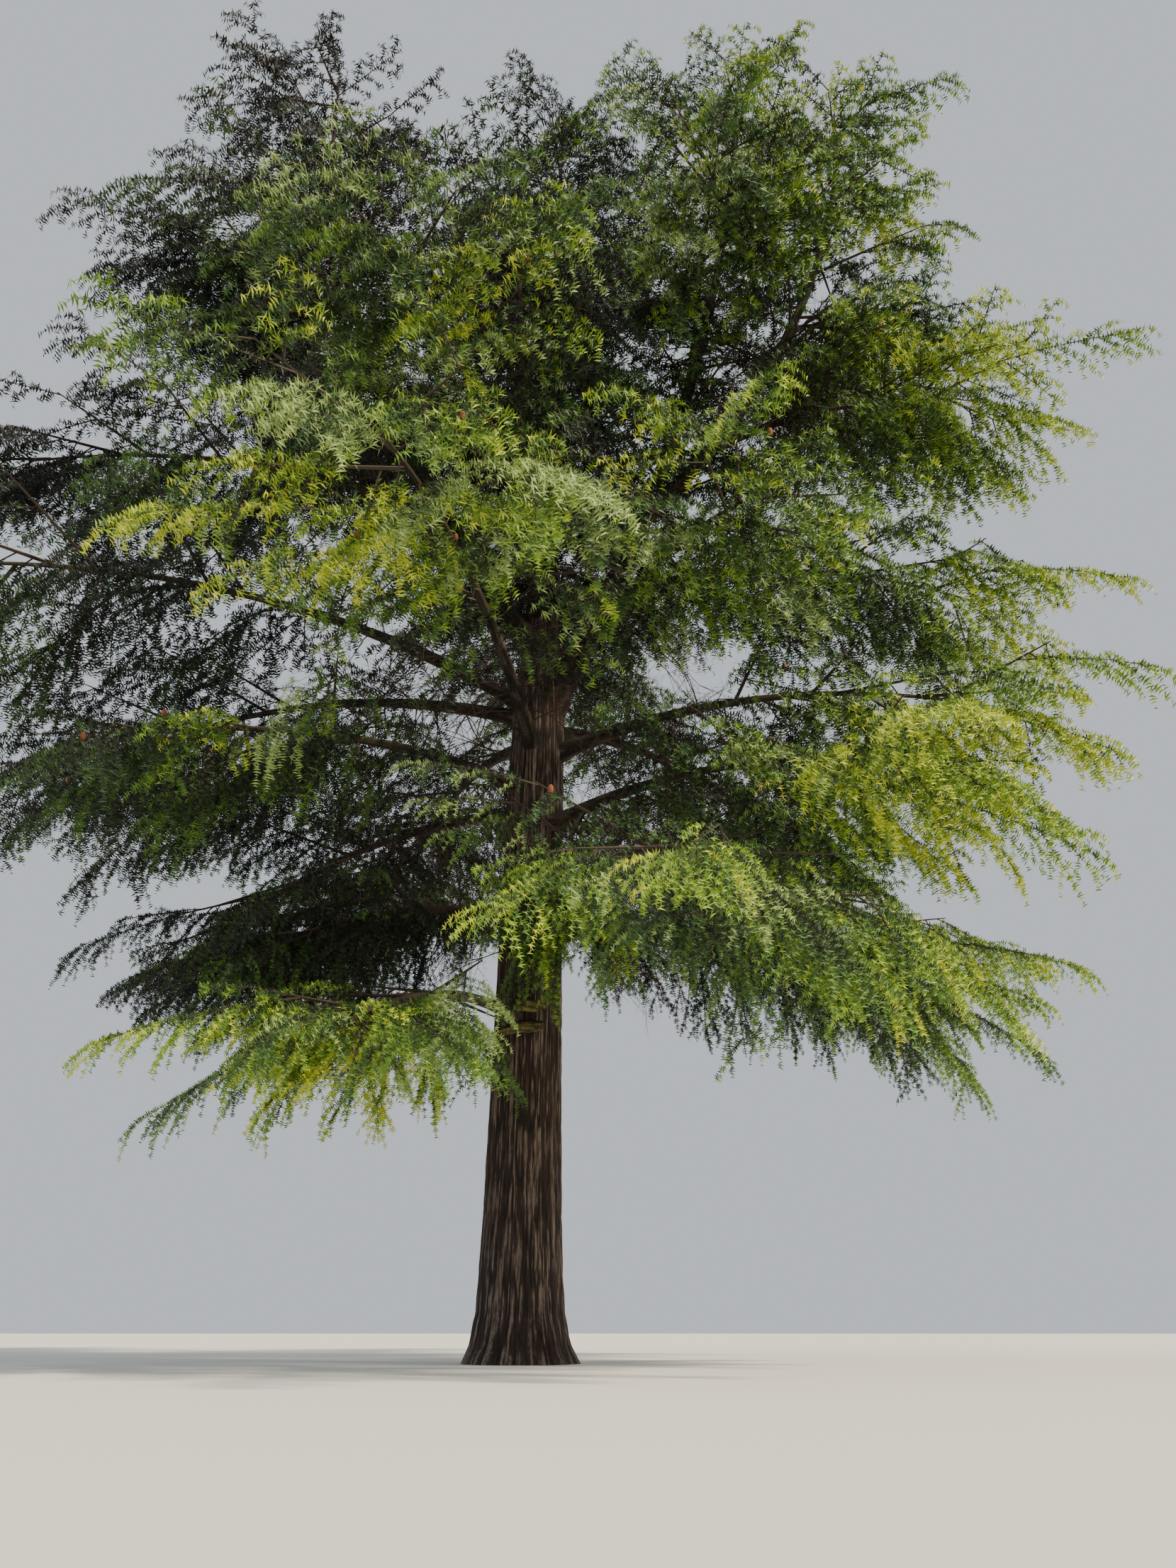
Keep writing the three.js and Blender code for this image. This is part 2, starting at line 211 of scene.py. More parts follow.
def add_node(tree, kind, settings=None, links=None):
    node = tree.nodes.new(kind)
    for key, value in (settings or {}).items():
        if isinstance(key, int) or key in node.inputs:
            node.inputs[key].default_value = value
        else:
            setattr(node, key, value)
    for key, source in (links or {}).items():
        tree.links.new(source, node.inputs[key])
    return node


def new_material(name):
    material = bpy.data.materials.new(name)
    material.use_nodes = True
    tree = material.node_tree
    return material, tree, tree.nodes["Principled BSDF"]


def plain_material(name, colour, roughness):
    material, _, shader = new_material(name)
    shader.inputs["Base Color"].default_value = linear(colour)
    shader.inputs["Roughness"].default_value = roughness
    return material


def lattice_noise(across, along, period, seed):
    """Smooth noise from 0 to 1 on a lattice that closes on itself across."""
    table = np.random.default_rng(seed).random((period, LATTICE_ROWS))
    x0, y0 = np.floor(across).astype(int), np.floor(along).astype(int)
    fx, fy = across - x0, along - y0
    fx, fy = fx * fx * (3 - 2 * fx), fy * fy * (3 - 2 * fy)
    x0, x1 = x0 % period, (x0 + 1) % period
    y0, y1 = y0 % LATTICE_ROWS, (y0 + 1) % LATTICE_ROWS
    low = table[x0, y0] * (1 - fx) + table[x1, y0] * fx
    high = table[x0, y1] * (1 - fx) + table[x1, y1] * fx
    return low * (1 - fy) + high * fy


def bark_relief(turn, along, radius, strip_width, strip_length, seed):
    """From 0 in the fissures to 1 on the strips, which wander, part and meet again."""
    count = max(FEWEST_STRIPS, round(2 * math.pi * float(np.mean(radius)) / strip_width))
    wander = lattice_noise(turn * WANDERS, along / (strip_length * WANDER_LENGTH), WANDERS, seed) - 0.5
    across = turn * count + WANDER_WIDTH * wander
    strips = np.abs(2 * lattice_noise(across, along / strip_length, count, seed + 1) - 1)
    splits = np.abs(2 * lattice_noise(
        across * 2, along / (strip_length * SPLIT_LENGTH), count * 2, seed + 2) - 1)
    fine = lattice_noise(turn * count * 3, along / (strip_length * FINE_LENGTH), count * 3, seed + 3)
    raised = STRIP_PART * np.clip(strips / STRIP_EDGE, 0, 1) ** STRIP_ROUND
    return raised + SPLIT_PART * np.clip(splits / SPLIT_EDGE, 0, 1) + FINE_PART * fine


def mesh_object(name, vertices, faces, materials, material_index=None, smooth=False, relief=None):
    """One mesh from arrays, because no operator draws bark relief or needles along a bent limb. The array
    of faces has one row of corner numbers a face."""
    mesh = bpy.data.meshes.new(name)
    count, corners = faces.shape
    mesh.vertices.add(len(vertices))
    mesh.vertices.foreach_set("co", np.asarray(vertices, np.float32).ravel())
    mesh.loops.add(count * corners)
    mesh.loops.foreach_set("vertex_index", np.asarray(faces, np.int32).ravel())
    mesh.polygons.add(count)
    mesh.polygons.foreach_set("loop_start", np.arange(0, count * corners, corners, dtype=np.int32))
    mesh.polygons.foreach_set("use_smooth", np.full(count, smooth))
    for material in materials:
        mesh.materials.append(material)
    if material_index is not None:
        mesh.polygons.foreach_set("material_index", np.asarray(material_index, np.int32))
    if relief is not None:
        attribute = mesh.attributes.new("relief", "FLOAT", "POINT")
        attribute.data.foreach_set("value", relief.astype(np.float32))
    mesh.update(calc_edges=True)
    mesh.validate()
    made = bpy.data.objects.new(name, mesh)
    bpy.context.scene.collection.objects.link(made)
    return made


def tube(centres, ahead, side, radii):
    """Vertices and quads of a tube: radii has a row for each centre and a column for each way round."""
    rows, around = radii.shape
    above = np.cross(ahead, side)
    turn = np.arange(around) / around * 2 * math.pi
    ring = side[:, None] * np.cos(turn)[None, :, None] + above[:, None] * np.sin(turn)[None, :, None]
    vertices = centres[:, None] + ring * radii[:, :, None]
    i, j = np.meshgrid(np.arange(rows - 1), np.arange(around), indexing="ij")
    a, b = i * around + j, i * around + (j + 1) % around
    return vertices.reshape(-1, 3), np.stack([a, b, b + around, a + around], axis=-1).reshape(-1, 4)


def join_parts(parts):
    vertices, faces, offset = [], [], 0
    for part_vertices, part_faces in parts:
        vertices.append(part_vertices)
        faces.append(part_faces + offset)
        offset += len(part_vertices)
    return np.concatenate(vertices), np.concatenate(faces)


def bark_material(name, dark, mid, pale):
    """Dry, matt bark: pale on the strips, dark in the fissures, streaked, with redder patches."""
    bark, tree, shader = new_material(name)
    place = add_node(tree, "ShaderNodeTexCoord")
    stretch = add_node(tree, "ShaderNodeMapping", {"Scale": STREAK_SPREAD},
                       {"Vector": place.outputs["Object"]})
    streaks = add_node(tree, "ShaderNodeTexNoise",
                       {"Scale": STREAK_SCALE, "Detail": STREAK_DETAIL, "Roughness": STREAK_ROUGHNESS},
                       {"Vector": stretch.outputs["Vector"]})
    patches = add_node(tree, "ShaderNodeTexNoise", {"Scale": PATCH_SCALE, "Detail": PATCH_DETAIL},
                       {"Vector": place.outputs["Object"]})
    relief = add_node(tree, "ShaderNodeAttribute", {"attribute_name": "relief"})
    weathered = add_node(tree, "ShaderNodeMath",
                         {"operation": "MULTIPLY_ADD", 1: WEATHERING, 2: WEATHER_LEVEL},
                         {0: streaks.outputs["Fac"]})
    shade = add_node(tree, "ShaderNodeMath", {"operation": "ADD"},
                     {0: relief.outputs["Fac"], 1: weathered.outputs["Value"]})
    strip_colour = add_node(tree, "ShaderNodeValToRGB", links={"Fac": shade.outputs["Value"]})
    ramp = strip_colour.color_ramp
    ramp.elements[0].position, ramp.elements[0].color = DARK_AT, linear(dark)
    ramp.elements[1].position, ramp.elements[1].color = PALE_AT, linear(pale)
    ramp.elements.new(MID_AT).color = linear(mid)
    red = add_node(tree, "ShaderNodeMapRange",
                   {"From Min": RED_FROM, "From Max": RED_FULL, "To Max": RED_MOST},
                   {"Value": patches.outputs["Fac"]})
    mixed = add_node(tree, "ShaderNodeMix", {"data_type": "RGBA"}, {"Factor": red.outputs["Result"]})
    tree.links.new(strip_colour.outputs["Color"], mixed.inputs["A"])
    mixed.inputs["B"].default_value = linear(BARK_RED)
    tree.links.new(mixed.outputs["Result"], shader.inputs["Base Color"])
    shader.inputs["Roughness"].default_value = BARK_ROUGHNESS
    bump = add_node(tree, "ShaderNodeBump", {"Strength": BUMP_STRENGTH, "Distance": BUMP_HEIGHT},
                    {"Height": streaks.outputs["Fac"]})
    tree.links.new(bump.outputs["Normal"], shader.inputs["Normal"])
    return bark


trunk_bark = bark_material("cedar trunk bark", BARK_DARK, BARK_MID, BARK_PALE)
# The limbs' bark is painted darker than the trunk's, as shade inside the crown.
limb_bark = bark_material("shaded cedar limb bark", SHADED_LIMB_DARK, SHADED_LIMB_MID, SHADED_LIMB_PALE)
old_bark = bark_material("weathered grey cedar bark", OLD_DARK, OLD_MID, OLD_PALE)

height = np.concatenate([
    np.linspace(0, FOOT_TOP, FOOT_ROWS)[:-1],
    np.linspace(FOOT_TOP, TRUNK_TOP, TRUNK_ROWS),
])
profile = trunk_radius(height)
centres = trunk_arc.point(np.array([trunk_arc.share_at(z) for z in height]))
centres[:, 2] = height
turns, heights = np.meshgrid(np.arange(TRUNK_AROUND) / TRUNK_AROUND, height)
trunk_relief = bark_relief(turns, heights, profile, STRIP_WIDTH, STRIP_LENGTH, seed=11)
ribs = np.cos(2 * math.pi * (ROOT_RIBS * turns + RIB_SHIFT * np.sin(2 * math.pi * turns)))
flare = np.exp(-heights / FLARE_HEIGHT)
radii = profile[:, None] * (1 + RIB_DEPTH * ribs * flare) + FISSURE * (trunk_relief - RELIEF_LEVEL)
level = np.tile([0.0, 0.0, 1.0], (len(height), 1))
sideways = np.tile([1.0, 0.0, 0.0], (len(height), 1))
trunk_tube = tube(centres, level, sideways, radii)
trunk_mesh = mesh_object("trunk_bark", *trunk_tube, [trunk_bark], smooth=True, relief=trunk_relief.ravel())
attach(trunk_mesh, "root")
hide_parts("trunk")


# Leaders and boughs
# The same bark, thinner, less split and painted darker as shade inside the crown, on long limbs that swell
# into a collar where they leave what carries them. The upper trunk runs on as one more leader, and every
# limb reaches a little way into its foliage. The lowest bough on the near side is old, grey and bare.
LIMB_AROUND, LIMB_STEP, FEWEST_ROWS, LIMB_TAPER = 18, 0.09, 8, 1.25
COLLAR, COLLAR_REACH = 0.35, 1.6
INTO_FOLIAGE = 0.012
LIMB_STRIP_WIDTH, LIMB_STRIP_LENGTH, LIMB_FISSURE = 0.045, 0.3, 0.05
UPPER_AROUND, UPPER_ROWS, UPPER_OVERLAP, UPPER_END = 26, 90, 0.3, 0.01
UPPER_STRIP_WIDTH, UPPER_FISSURE = 0.05, 0.008
KNOTS, KNOT_LENGTH, KNOT_DEPTH = 3, 0.5, 0.12
OLD_BOUGH = "bough_low_2"


def limb_radii(limb, share):
    taper = np.clip(1 - share / limb["bare"], 0, 1) ** LIMB_TAPER
    return limb["tip"] + (limb["root"] - limb["tip"]) * taper


def bent_tube(arc, share, radius, around, depth, strip_width, seed):
    """Vertices, quads and relief of a limb along an arc."""
    ahead = direction(arc.heading(share), arc.pitch(share))
    side = direction(arc.heading(share) + 90, np.zeros_like(share))
    turns, along = np.meshgrid(np.arange(around) / around, share * arc.length)
    relief = bark_relief(turns, along, radius, strip_width, LIMB_STRIP_LENGTH, seed)
    knots = KNOT_DEPTH * (lattice_noise(turns * KNOTS, along / KNOT_LENGTH, KNOTS, seed + 5) - 0.5)
    radii = radius[:, None] * (1 + knots) + depth * (relief - RELIEF_LEVEL)
    return (*tube(arc.point(share), ahead, side, radii), relief)


def upper_trunk():
    lowest = trunk_arc.share_at(TRUNK_TOP - UPPER_OVERLAP)
    share = np.linspace(lowest, limbs["trunk"]["bare"] + UPPER_END, UPPER_ROWS)
    radius = trunk_radius(trunk_arc.point(share)[:, 2])
    return bent_tube(trunk_arc, share, radius, UPPER_AROUND, UPPER_FISSURE, UPPER_STRIP_WIDTH, seed=21)


def limb_tube(limb, seed):
    arc, foot = limb["arc"], limb["foot"]
    reach = arc.length * (limb["bare"] + INTO_FOLIAGE)
    share = np.linspace(0, reach, max(FEWEST_ROWS, int(reach / LIMB_STEP))) / arc.length
    if limb["on"] == "trunk":
        inside = float(trunk_radius(foot))
    else:
        carrier = limbs[limb["on"]]
        inside = float(limb_radii(carrier, carrier["arc"].share_at(foot)))
    from_bark = np.maximum(share * arc.length - inside, 0)
    swell = 1 + COLLAR * np.exp(-from_bark / (COLLAR_REACH * limb["root"]))
    radius = limb_radii(limb, share) * swell
    return bent_tube(arc, share, radius, LIMB_AROUND, LIMB_FISSURE * limb["root"], LIMB_STRIP_WIDTH, seed)


carried = [name for name in limbs if name != "trunk"]
limb_tubes = [upper_trunk()]
limb_tubes += [limb_tube(limbs[name], seed=41 + i) for i, name in enumerate(carried)]
limb_kind = np.concatenate([
    np.full(len(faces), name == OLD_BOUGH) for name, (_, faces, _) in zip(limbs, limb_tubes)
])
limb_mesh = mesh_object("limb_bark", *join_parts([part[:2] for part in limb_tubes]), [limb_bark, old_bark],
                        limb_kind, smooth=True,
                        relief=np.concatenate([relief.ravel() for _, _, relief in limb_tubes]))
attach(limb_mesh, "root")
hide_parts(*carried)


# Old stubs
# Two dead stubs low on the near side of the trunk, under the lowest front bough: one broken off ragged,
# one sawn short. Both are grown over with moss.
MOSS_DARK, MOSS_GREEN, MOSS_PALE = "#1c1910", "#453f1f", "#7f7840"
STUBS = [
    dict(arc=Arc((0.2, -0.26, 3.58), 212, -6, 0.66, fall=-26), root=0.075, tip=0.04),
    dict(arc=Arc((0.26, -0.16, 3.8), 224, 4, 0.56, fall=-8), root=0.08, tip=0.07),
]
STUB_ROWS, STUB_AROUND = 30, 24
STUB_FISSURE, STUB_STRIP_WIDTH, STUB_END = 0.0015, 0.03, 0.002

moss = bark_material("mossy dead cedar wood", MOSS_DARK, MOSS_GREEN, MOSS_PALE)
stub_tubes = []
for i, stub in enumerate(STUBS):
    share = np.append(np.linspace(0, 1, STUB_ROWS), [1.0])
    radius = np.append(np.linspace(stub["root"], stub["tip"], STUB_ROWS), [STUB_END])
    stub_tubes.append(bent_tube(
        stub["arc"], share, radius, STUB_AROUND, STUB_FISSURE, STUB_STRIP_WIDTH, seed=700 + i))
stub_mesh = mesh_object("old_stubs", *join_parts([part[:2] for part in stub_tubes]), [moss], smooth=True,
                        relief=np.concatenate([relief.ravel() for _, _, relief in stub_tubes]))
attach(stub_mesh, "root")


# Foliage frame
# Each mass is a stem that carries on its limb's arc, side twigs, and drooping sprays on both: first the
# sprays that the solids show, in the same places, and then as many finer ones between them. Small sprays
# also stand on the bare limbs, on the leaders' own side twigs, and hang from the lowest front bough.
FLATNESS, HANG, CLEAR, LOWEST = 1.4, 0.35, 0.012, 2.05
SPIRE_TWIGS, SPIRE_SPREAD, PAD_TWIGS, STEM_STEPS = 6, 1.65, 5, 3
TWIGGED = 0.92
SPRAY_LENGTH, SPRAY_WIDTH, SPRAY_SAG = 2.0, 1.18, 0.14
SPRAY_OUTLINE = np.array([[0, 0], [0.42, -0.46], [0.54, -0.2], [1, 0], [0.66, 0.22], [0.58, 0.5]])
TRIES, SIZES_TRIED = 5, (1, 0.7)
AZIMUTH_TURN, PITCH_TURN, ROLL_TURN = 11, 9, 17
PITCH_KEPT = 0.4
SOLID_ROLL, FINE_ROLL = 30, 35
TWIG_SHARES = (0.2, 0.42, 0.6, 0.8, 0.95)
PAD_SPRAYS, SPIRE_SPRAYS, CURTAIN_SPRAYS = 9, 16, 7
LIMB_SPRAYS, LEADER_SPRAYS = 7, 18
LEADER_TWIGS, LEADER_TWIG_SHARES = 19, (0.4, 0.7, 0.98)
LEADER_FOOT, ABOVE_FORK, BOUGH_FOOT = 8.9, 0.04, 0.5
LIMB_REACH = 3.1
LIMB_DROOPS, LIMB_SIZES = (-20, 45), (0.42, 0.7)
FRINGE_FOOT, FRINGE_LEANS, FRINGE_DROOPS, FRINGE_SIZES = 0.25, (-120, 120), (54, 80), (0.5, 0.68)
VEIL_LEANS, VEIL_DROOPS, VEIL_SIZES = (-125, -40), (24, 56), (0.48, 0.68)
OPEN_PLACE, OPEN_REACH = (0.25, -2.3, 3.2), 1.15
# Side twigs of the spires, of the boughs' masses and of the bare leaders: how far each turns and rises, in
# degrees, and its length. The fine ones stand between the others.
SPIRE_TWIG = dict(turns=(-15, 15), rises=(14, 28), foot=1.1, less=0.62)
SPIRE_FINE_TWIG = dict(turns=(-20, 20), rises=(4, 34), foot=0.95, less=0.5)
PAD_TWIG = dict(open=70, closing=34, turns=(-8, 8), rises=(-5, 5), upper=12, lower=-14)
PAD_FINE_TWIG = dict(open=76, closing=32, turns=(-12, 12), rises=(-22, 18), shorter=0.85)
LEADER_TWIG = dict(turns=(-25, 25), rises=(2, 30), lengths=(0.9, 1.8))
BELLY_FOOT, BELLY_RUN = 0.26, 0.5
# Sprays: where each stands, how far it leans to the side and droops, in degrees, and its size.
SPIRE_SIZES = dict(full=0.84, less=0.8, tip=0.6, tip_droop=-50)
PAD_SIZES = dict(full=0.98, less=0.92, tip=0.9, tip_droop=14)
TIP_SHARE, TIP_LEANS = 0.985, (-10, 10)
OUTER_SHARE, OUTER_LEANS, OUTER_DROOPS = 0.7, (-8, 8), (8, 26)
INNER_SHARE, INNER_LEANS, INNER_DROOPS = 0.3, (40, 56), (24, 50)
STEM_START, STEM_LEANS, STEM_DROOPS = 0.1, (24, 60), (20, 46)
FINE_ON_TWIG = dict(shifts=(-0.05, 0.05), leans=(12, 72), droops=(-10, 62), sizes=(0.42, 0.66))
FINE_ON_STEM = dict(leans=(20, 100), droops=(-12, 60), sizes=(0.45, 0.7))
CURTAIN = dict(start=0.2, run=0.9, leans=(-100, 100), droops=(58, 80), sizes=(0.5, 0.8))
BOUGH_LEANS, TWIG_LEANS, VEIL_BACK = (30, 110), (20, 65), 0.02

stems = {name: limb["arc"].point(np.linspace(limb["bare"], 1, STEM_STEPS + 1))
         for name, limb in limbs.items()}
hangs = {name: 0 if limb["spire"] else HANG for name, limb in limbs.items()}


def space_distance(name, points):
    apart = points[:, None] + [0, 0, hangs[name]] - stems[name][None]
    return np.sqrt((apart * apart * [1, 1, FLATNESS**2]).sum(-1)).min(1)


def in_own_space(name, points):
    if points[:, 2].min() < LOWEST:
        return False
    own = space_distance(name, points) + CLEAR
    return all((space_distance(other, points) >= own).all() for other in stems if other != name)


def near_foliage(name, points):
    """For a spray on a bare limb: it reaches no further out than the masses round it."""
    nearest = np.min([space_distance(other, points) for other in stems], axis=0)
    return points[:, 2].min() > LOWEST and nearest.max() < LIMB_REACH


def fine_spray_fits(name, points):
    """The fine sprays of the old bare bough also leave open the place in front of the trunk's stubs."""
    if "leafless" in limbs[name] and np.linalg.norm(points - OPEN_PLACE, axis=1).min() < OPEN_REACH:
        return False
    return in_own_space(name, points)


def side_of(index):
    return 1 if index % 2 else -1


def belly(part):
    """How wide a bough's mass is along its stem, with its widest as 1."""
    return math.sin(math.pi * (BELLY_FOOT + BELLY_RUN * part))


def spire_twig(arc, share, part, lap, growth, draw):
    """A twig on a spire, one of a spiral that shortens upwards."""
    azimuth = arc.azimuth + GOLDEN_ANGLE * lap + draw(*growth["turns"])
    length = SPIRE_SPREAD * (growth["foot"] - growth["less"] * part)
    return Arc(arc.point(share), azimuth, draw(*growth["rises"]), length)


def side_turn(part, growth, draw):
    return growth["open"] - growth["closing"] * part + draw(*growth["turns"])


def twig_line(limb, index, count, draw):
    """A side twig, as the source places it."""
    part = (index + 0.5) / count
    share = limb["bare"] + (1 - limb["bare"]) * part * TWIGGED
    arc = limb["arc"]
    if limb["spire"]:
        return spire_twig(arc, share, part, index, SPIRE_TWIG, draw)
    level = PAD_TWIG["upper" if index % 4 < 2 else "lower"]
    azimuth = arc.heading(share) + side_of(index) * side_turn(part, PAD_TWIG, draw)
    rise = arc.pitch(share) * PITCH_KEPT + level + draw(*PAD_TWIG["rises"])
    return Arc(arc.point(share), azimuth, rise, limb["spread"] * belly(part))


def fine_line(limb, index, count, draw):
    """A finer twig between two side twigs, on the other side of the stem."""
    part = (index + 1) / count
    share = limb["bare"] + (1 - limb["bare"]) * part * TWIGGED
    arc = limb["arc"]
    if limb["spire"]:
        return spire_twig(arc, share, part, index + 0.5, SPIRE_FINE_TWIG, draw)
    azimuth = arc.heading(share) - side_of(index) * side_turn(part, PAD_FINE_TWIG, draw)
    rise = arc.pitch(share) * PITCH_KEPT + draw(*PAD_FINE_TWIG["rises"])
    return Arc(arc.point(share), azimuth, rise, PAD_FINE_TWIG["shorter"] * limb["spread"] * belly(part))


def spray_place(on, share, lean, droop, size, draw, most_roll=FINE_ROLL):
    return dict(on=on, share=share, lean=lean, droop=droop, size=size, roll=draw(-most_roll, most_roll))


def spray_plan(limb, lines, draw):
    """The sprays of the source: one at the tip, two on each twig, and the rest on the stem between."""
    arc, bare, spire = limb["arc"], limb["bare"], limb["spire"]
    sizes = SPIRE_SIZES if spire else PAD_SIZES
    hang = 1 if spire else limb["weep"]
    plan = []

    def add(on, share, lean, droop, size):
        plan.append(spray_place(on, share, lean, droop, sizes[size], draw, SOLID_ROLL))

    add(arc, TIP_SHARE, draw(*TIP_LEANS), sizes["tip_droop"], "tip")
    for i, line in enumerate(lines):
        add(line, OUTER_SHARE, draw(*OUTER_LEANS), draw(*OUTER_DROOPS) * hang, "full")
        add(line, INNER_SHARE, -side_of(i) * draw(*INNER_LEANS), draw(*INNER_DROOPS) * hang, "less")
    for i in range(len(lines) - 1):
        round_stem = draw(*STEM_LEANS)
        share = bare + (1 - bare) * (i + STEM_START) / len(lines)
        lean = GOLDEN_ANGLE * (i + 0.5) if spire else side_of(i) * round_stem
        add(arc, share, lean, draw(*STEM_DROOPS) * hang, "full")
    return plan


def fine_plan(limb, lines, draw):
    """Finer sprays: along every twig, round the stem, and in a curtain that hangs from a bough's stem."""
    arc, bare, spire = limb["arc"], limb["bare"], limb["spire"]
    hang = 1 if spire else limb["weep"]
    plan = []

    def add(on, share, lean, kind, hang):
        droop, size = draw(*kind["droops"]) * hang, draw(*kind["sizes"])
        plan.append(spray_place(on, share, lean, droop, size, draw))

    for line in lines:
        for k, share in enumerate(TWIG_SHARES):
            along = share + draw(*FINE_ON_TWIG["shifts"])
            add(line, along, side_of(k) * draw(*FINE_ON_TWIG["leans"]), FINE_ON_TWIG, hang)
    count = SPIRE_SPRAYS if spire else PAD_SPRAYS
    for k in range(count):
        share = bare + (1 - bare) * (k + 0.5) / count
        lean = GOLDEN_ANGLE * k if spire else side_of(k) * draw(*FINE_ON_STEM["leans"])
        add(arc, share, lean, FINE_ON_STEM, hang)
    for k in range(0 if spire else CURTAIN_SPRAYS):
        share = bare + (1 - bare) * CURTAIN["run"] * (k + CURTAIN["start"]) / CURTAIN_SPRAYS
        add(arc, share, draw(*CURTAIN["leans"]), CURTAIN, 1)
    return plan


def lowest_share(limb):
    """Where a limb's lowest small sprays stand: above the fork, or part of the way to a bough's foliage."""
    if limb["spire"]:
        return limb["arc"].share_at(LEADER_FOOT) + ABOVE_FORK
    return limb["bare"] * BOUGH_FOOT


def leader_lines(limb, draw):
    """Side twigs all round a leader below its foliage."""
    lines = []
    lowest = lowest_share(limb)
    for k in range(LEADER_TWIGS if limb["spire"] else 0):
        share = lowest + (limb["bare"] - lowest) * (k + 0.5) / LEADER_TWIGS
        azimuth = limb["arc"].azimuth + GOLDEN_ANGLE * k + draw(*LEADER_TWIG["turns"])
        rise, length = draw(*LEADER_TWIG["rises"]), draw(*LEADER_TWIG["lengths"])
        lines.append(Arc(limb["arc"].point(share), azimuth, rise, length))
    return lines


def limb_plan(limb, lines, draw):
    """Small sprays on a limb below its foliage and on its side twigs, but none on the old bare bough. From
    the lowest front bough a fringe hangs too, and a veil of sprays leans over the trunk's face."""
    arc, lowest = limb["arc"], lowest_share(limb)
    plan = []

    def add(on, share, lean, droops=LIMB_DROOPS, sizes=LIMB_SIZES):
        plan.append(spray_place(on, share, lean, draw(*droops), draw(*sizes), draw))

    if "leafless" in limb:
        return plan
    count = LEADER_SPRAYS if limb["spire"] else LIMB_SPRAYS
    for k in range(count):
        share = lowest + (limb["bare"] - lowest) * (k + 0.5) / count
        add(arc, share, GOLDEN_ANGLE * k if limb["spire"] else side_of(k) * draw(*BOUGH_LEANS))
    for line in lines:
        for k, share in enumerate(LEADER_TWIG_SHARES):
            add(line, share, draw(*TWIG_LEANS) * side_of(k))
    fringe = limb.get("fringe", 0)
    for k in range(fringe):
        part = FRINGE_FOOT + (1 - FRINGE_FOOT) * (k + 0.5) / fringe
        share = lowest + (limb["bare"] - lowest) * part
        add(arc, share, draw(*FRINGE_LEANS), FRINGE_DROOPS, FRINGE_SIZES)
        add(arc, share - VEIL_BACK, draw(*VEIL_LEANS), VEIL_DROOPS, VEIL_SIZES)
    return plan


def spray_frame(root, azimuth, pitch, roll):
    ahead = direction(azimuth, pitch)
    side = direction(azimuth + 90, 0)
    above = np.cross(ahead, side)
    c, s = math.cos(math.radians(roll)), math.sin(math.radians(roll))
    return root, ahead, c * side + s * above, c * above - s * side


def place_spray(name, place, fits):
    """A spray that finds no room is turned a few times, then made smaller, and in the end left out."""
    on, share = place["on"], place["share"]
    for smaller in SIZES_TRIED:
        size = place["size"] * smaller
        for i in range(TRIES):
            azimuth = on.heading(share) + place["lean"] + i * side_of(i) * AZIMUTH_TURN
            pitch = on.pitch(share) * PITCH_KEPT - place["droop"] - PITCH_TURN * i
            roll = place["roll"] - i * side_of(i) * ROLL_TURN
            root, ahead, side, above = spray_frame(on.point(share), azimuth, pitch, roll)
            x = SPRAY_OUTLINE[:, :1] * SPRAY_LENGTH * size
            y = SPRAY_OUTLINE[:, 1:] * SPRAY_WIDTH * size
            sag = SPRAY_SAG * x * x / (SPRAY_LENGTH * size)
            if fits(name, root + x * ahead + y * side - sag * above):
                return np.concatenate([root, ahead, side, above, [SPRAY_LENGTH * size]])
    return None


sprays, spray_of, twig_arcs = [], [], []
for index, (name, limb) in enumerate(limbs.items()):
    draw = draws(index)
    count = SPIRE_TWIGS if limb["spire"] else PAD_TWIGS
    lines = [twig_line(limb, i, count, draw) for i in range(count)]
    plan = spray_plan(limb, lines, draw)
    lines += [fine_line(limb, i, count, draw) for i in range(count)]
    twig_arcs += lines
    found = [place_spray(name, place, in_own_space) for place in plan]
    found += [place_spray(name, place, fine_spray_fits) for place in fine_plan(limb, lines, draw)]
    lines = leader_lines(limb, draw)
    twig_arcs += lines
    found += [place_spray(name, place, near_foliage) for place in limb_plan(limb, lines, draw)]
    found = [spray for spray in found if spray is not None]
    sprays += found
    spray_of += [index] * len(found)
sprays, spray_of = np.array(sprays), np.array(spray_of)
chance = np.random.default_rng(7)


# Twigs
# Thin tan-grey wood inside the foliage: the stems, their side twigs, and the fine axis of every spray with
# the fingers that branch from it on both sides and droop at their ends. Leafless twigs stand on the boughs.
TWIG_BARK = "#3b2f24"
STEM_ROWS, STEM_AROUND, STEM_END, STEM_TAPER, STEM_FISSURE = 16, 7, 0.014, 1.1, 0.002
TWIG_ROWS, TWIG_AROUND, TWIG_END, TWIG_SWELL = 5, 5, 0.007, 0.02
TWIG_STRIP_WIDTH = 0.05
AXIS_STEPS, AXIS_THICK, AXIS_THINNING = 3, 0.011, 0.003
FINGER_GAP, FEWEST_FINGERS, MOST_FINGERS = 0.15, 5, 13
FINGER_LENGTH, LEAST_FINGER, FINGER_THICK, FINGER_TIP = 0.37, 0.2, 0.005, 0.8
FINGER_FOOT, FINGER_RUN, FINGER_SHIFT, FINGER_SIZES = 0.06, 0.86, 0.02, (0.75, 1.15)
FINGER_OPEN, FINGER_CLOSING, FINGER_STRAY, FINGER_SCATTER, FINGER_DROOP = 56, 24, 5, 0.16, 1.1
SPRAY_BELLY_FOOT, SPRAY_BELLY_RUN, SPRAY_BELLY_ROUND = 0.14, 0.76, 0.7
BARE_TWIGS, BARE_FOOT, BARE_STEPS, BARE_THICK, BARE_DROOP = 32, 0.22, 4, 0.011, 0.14
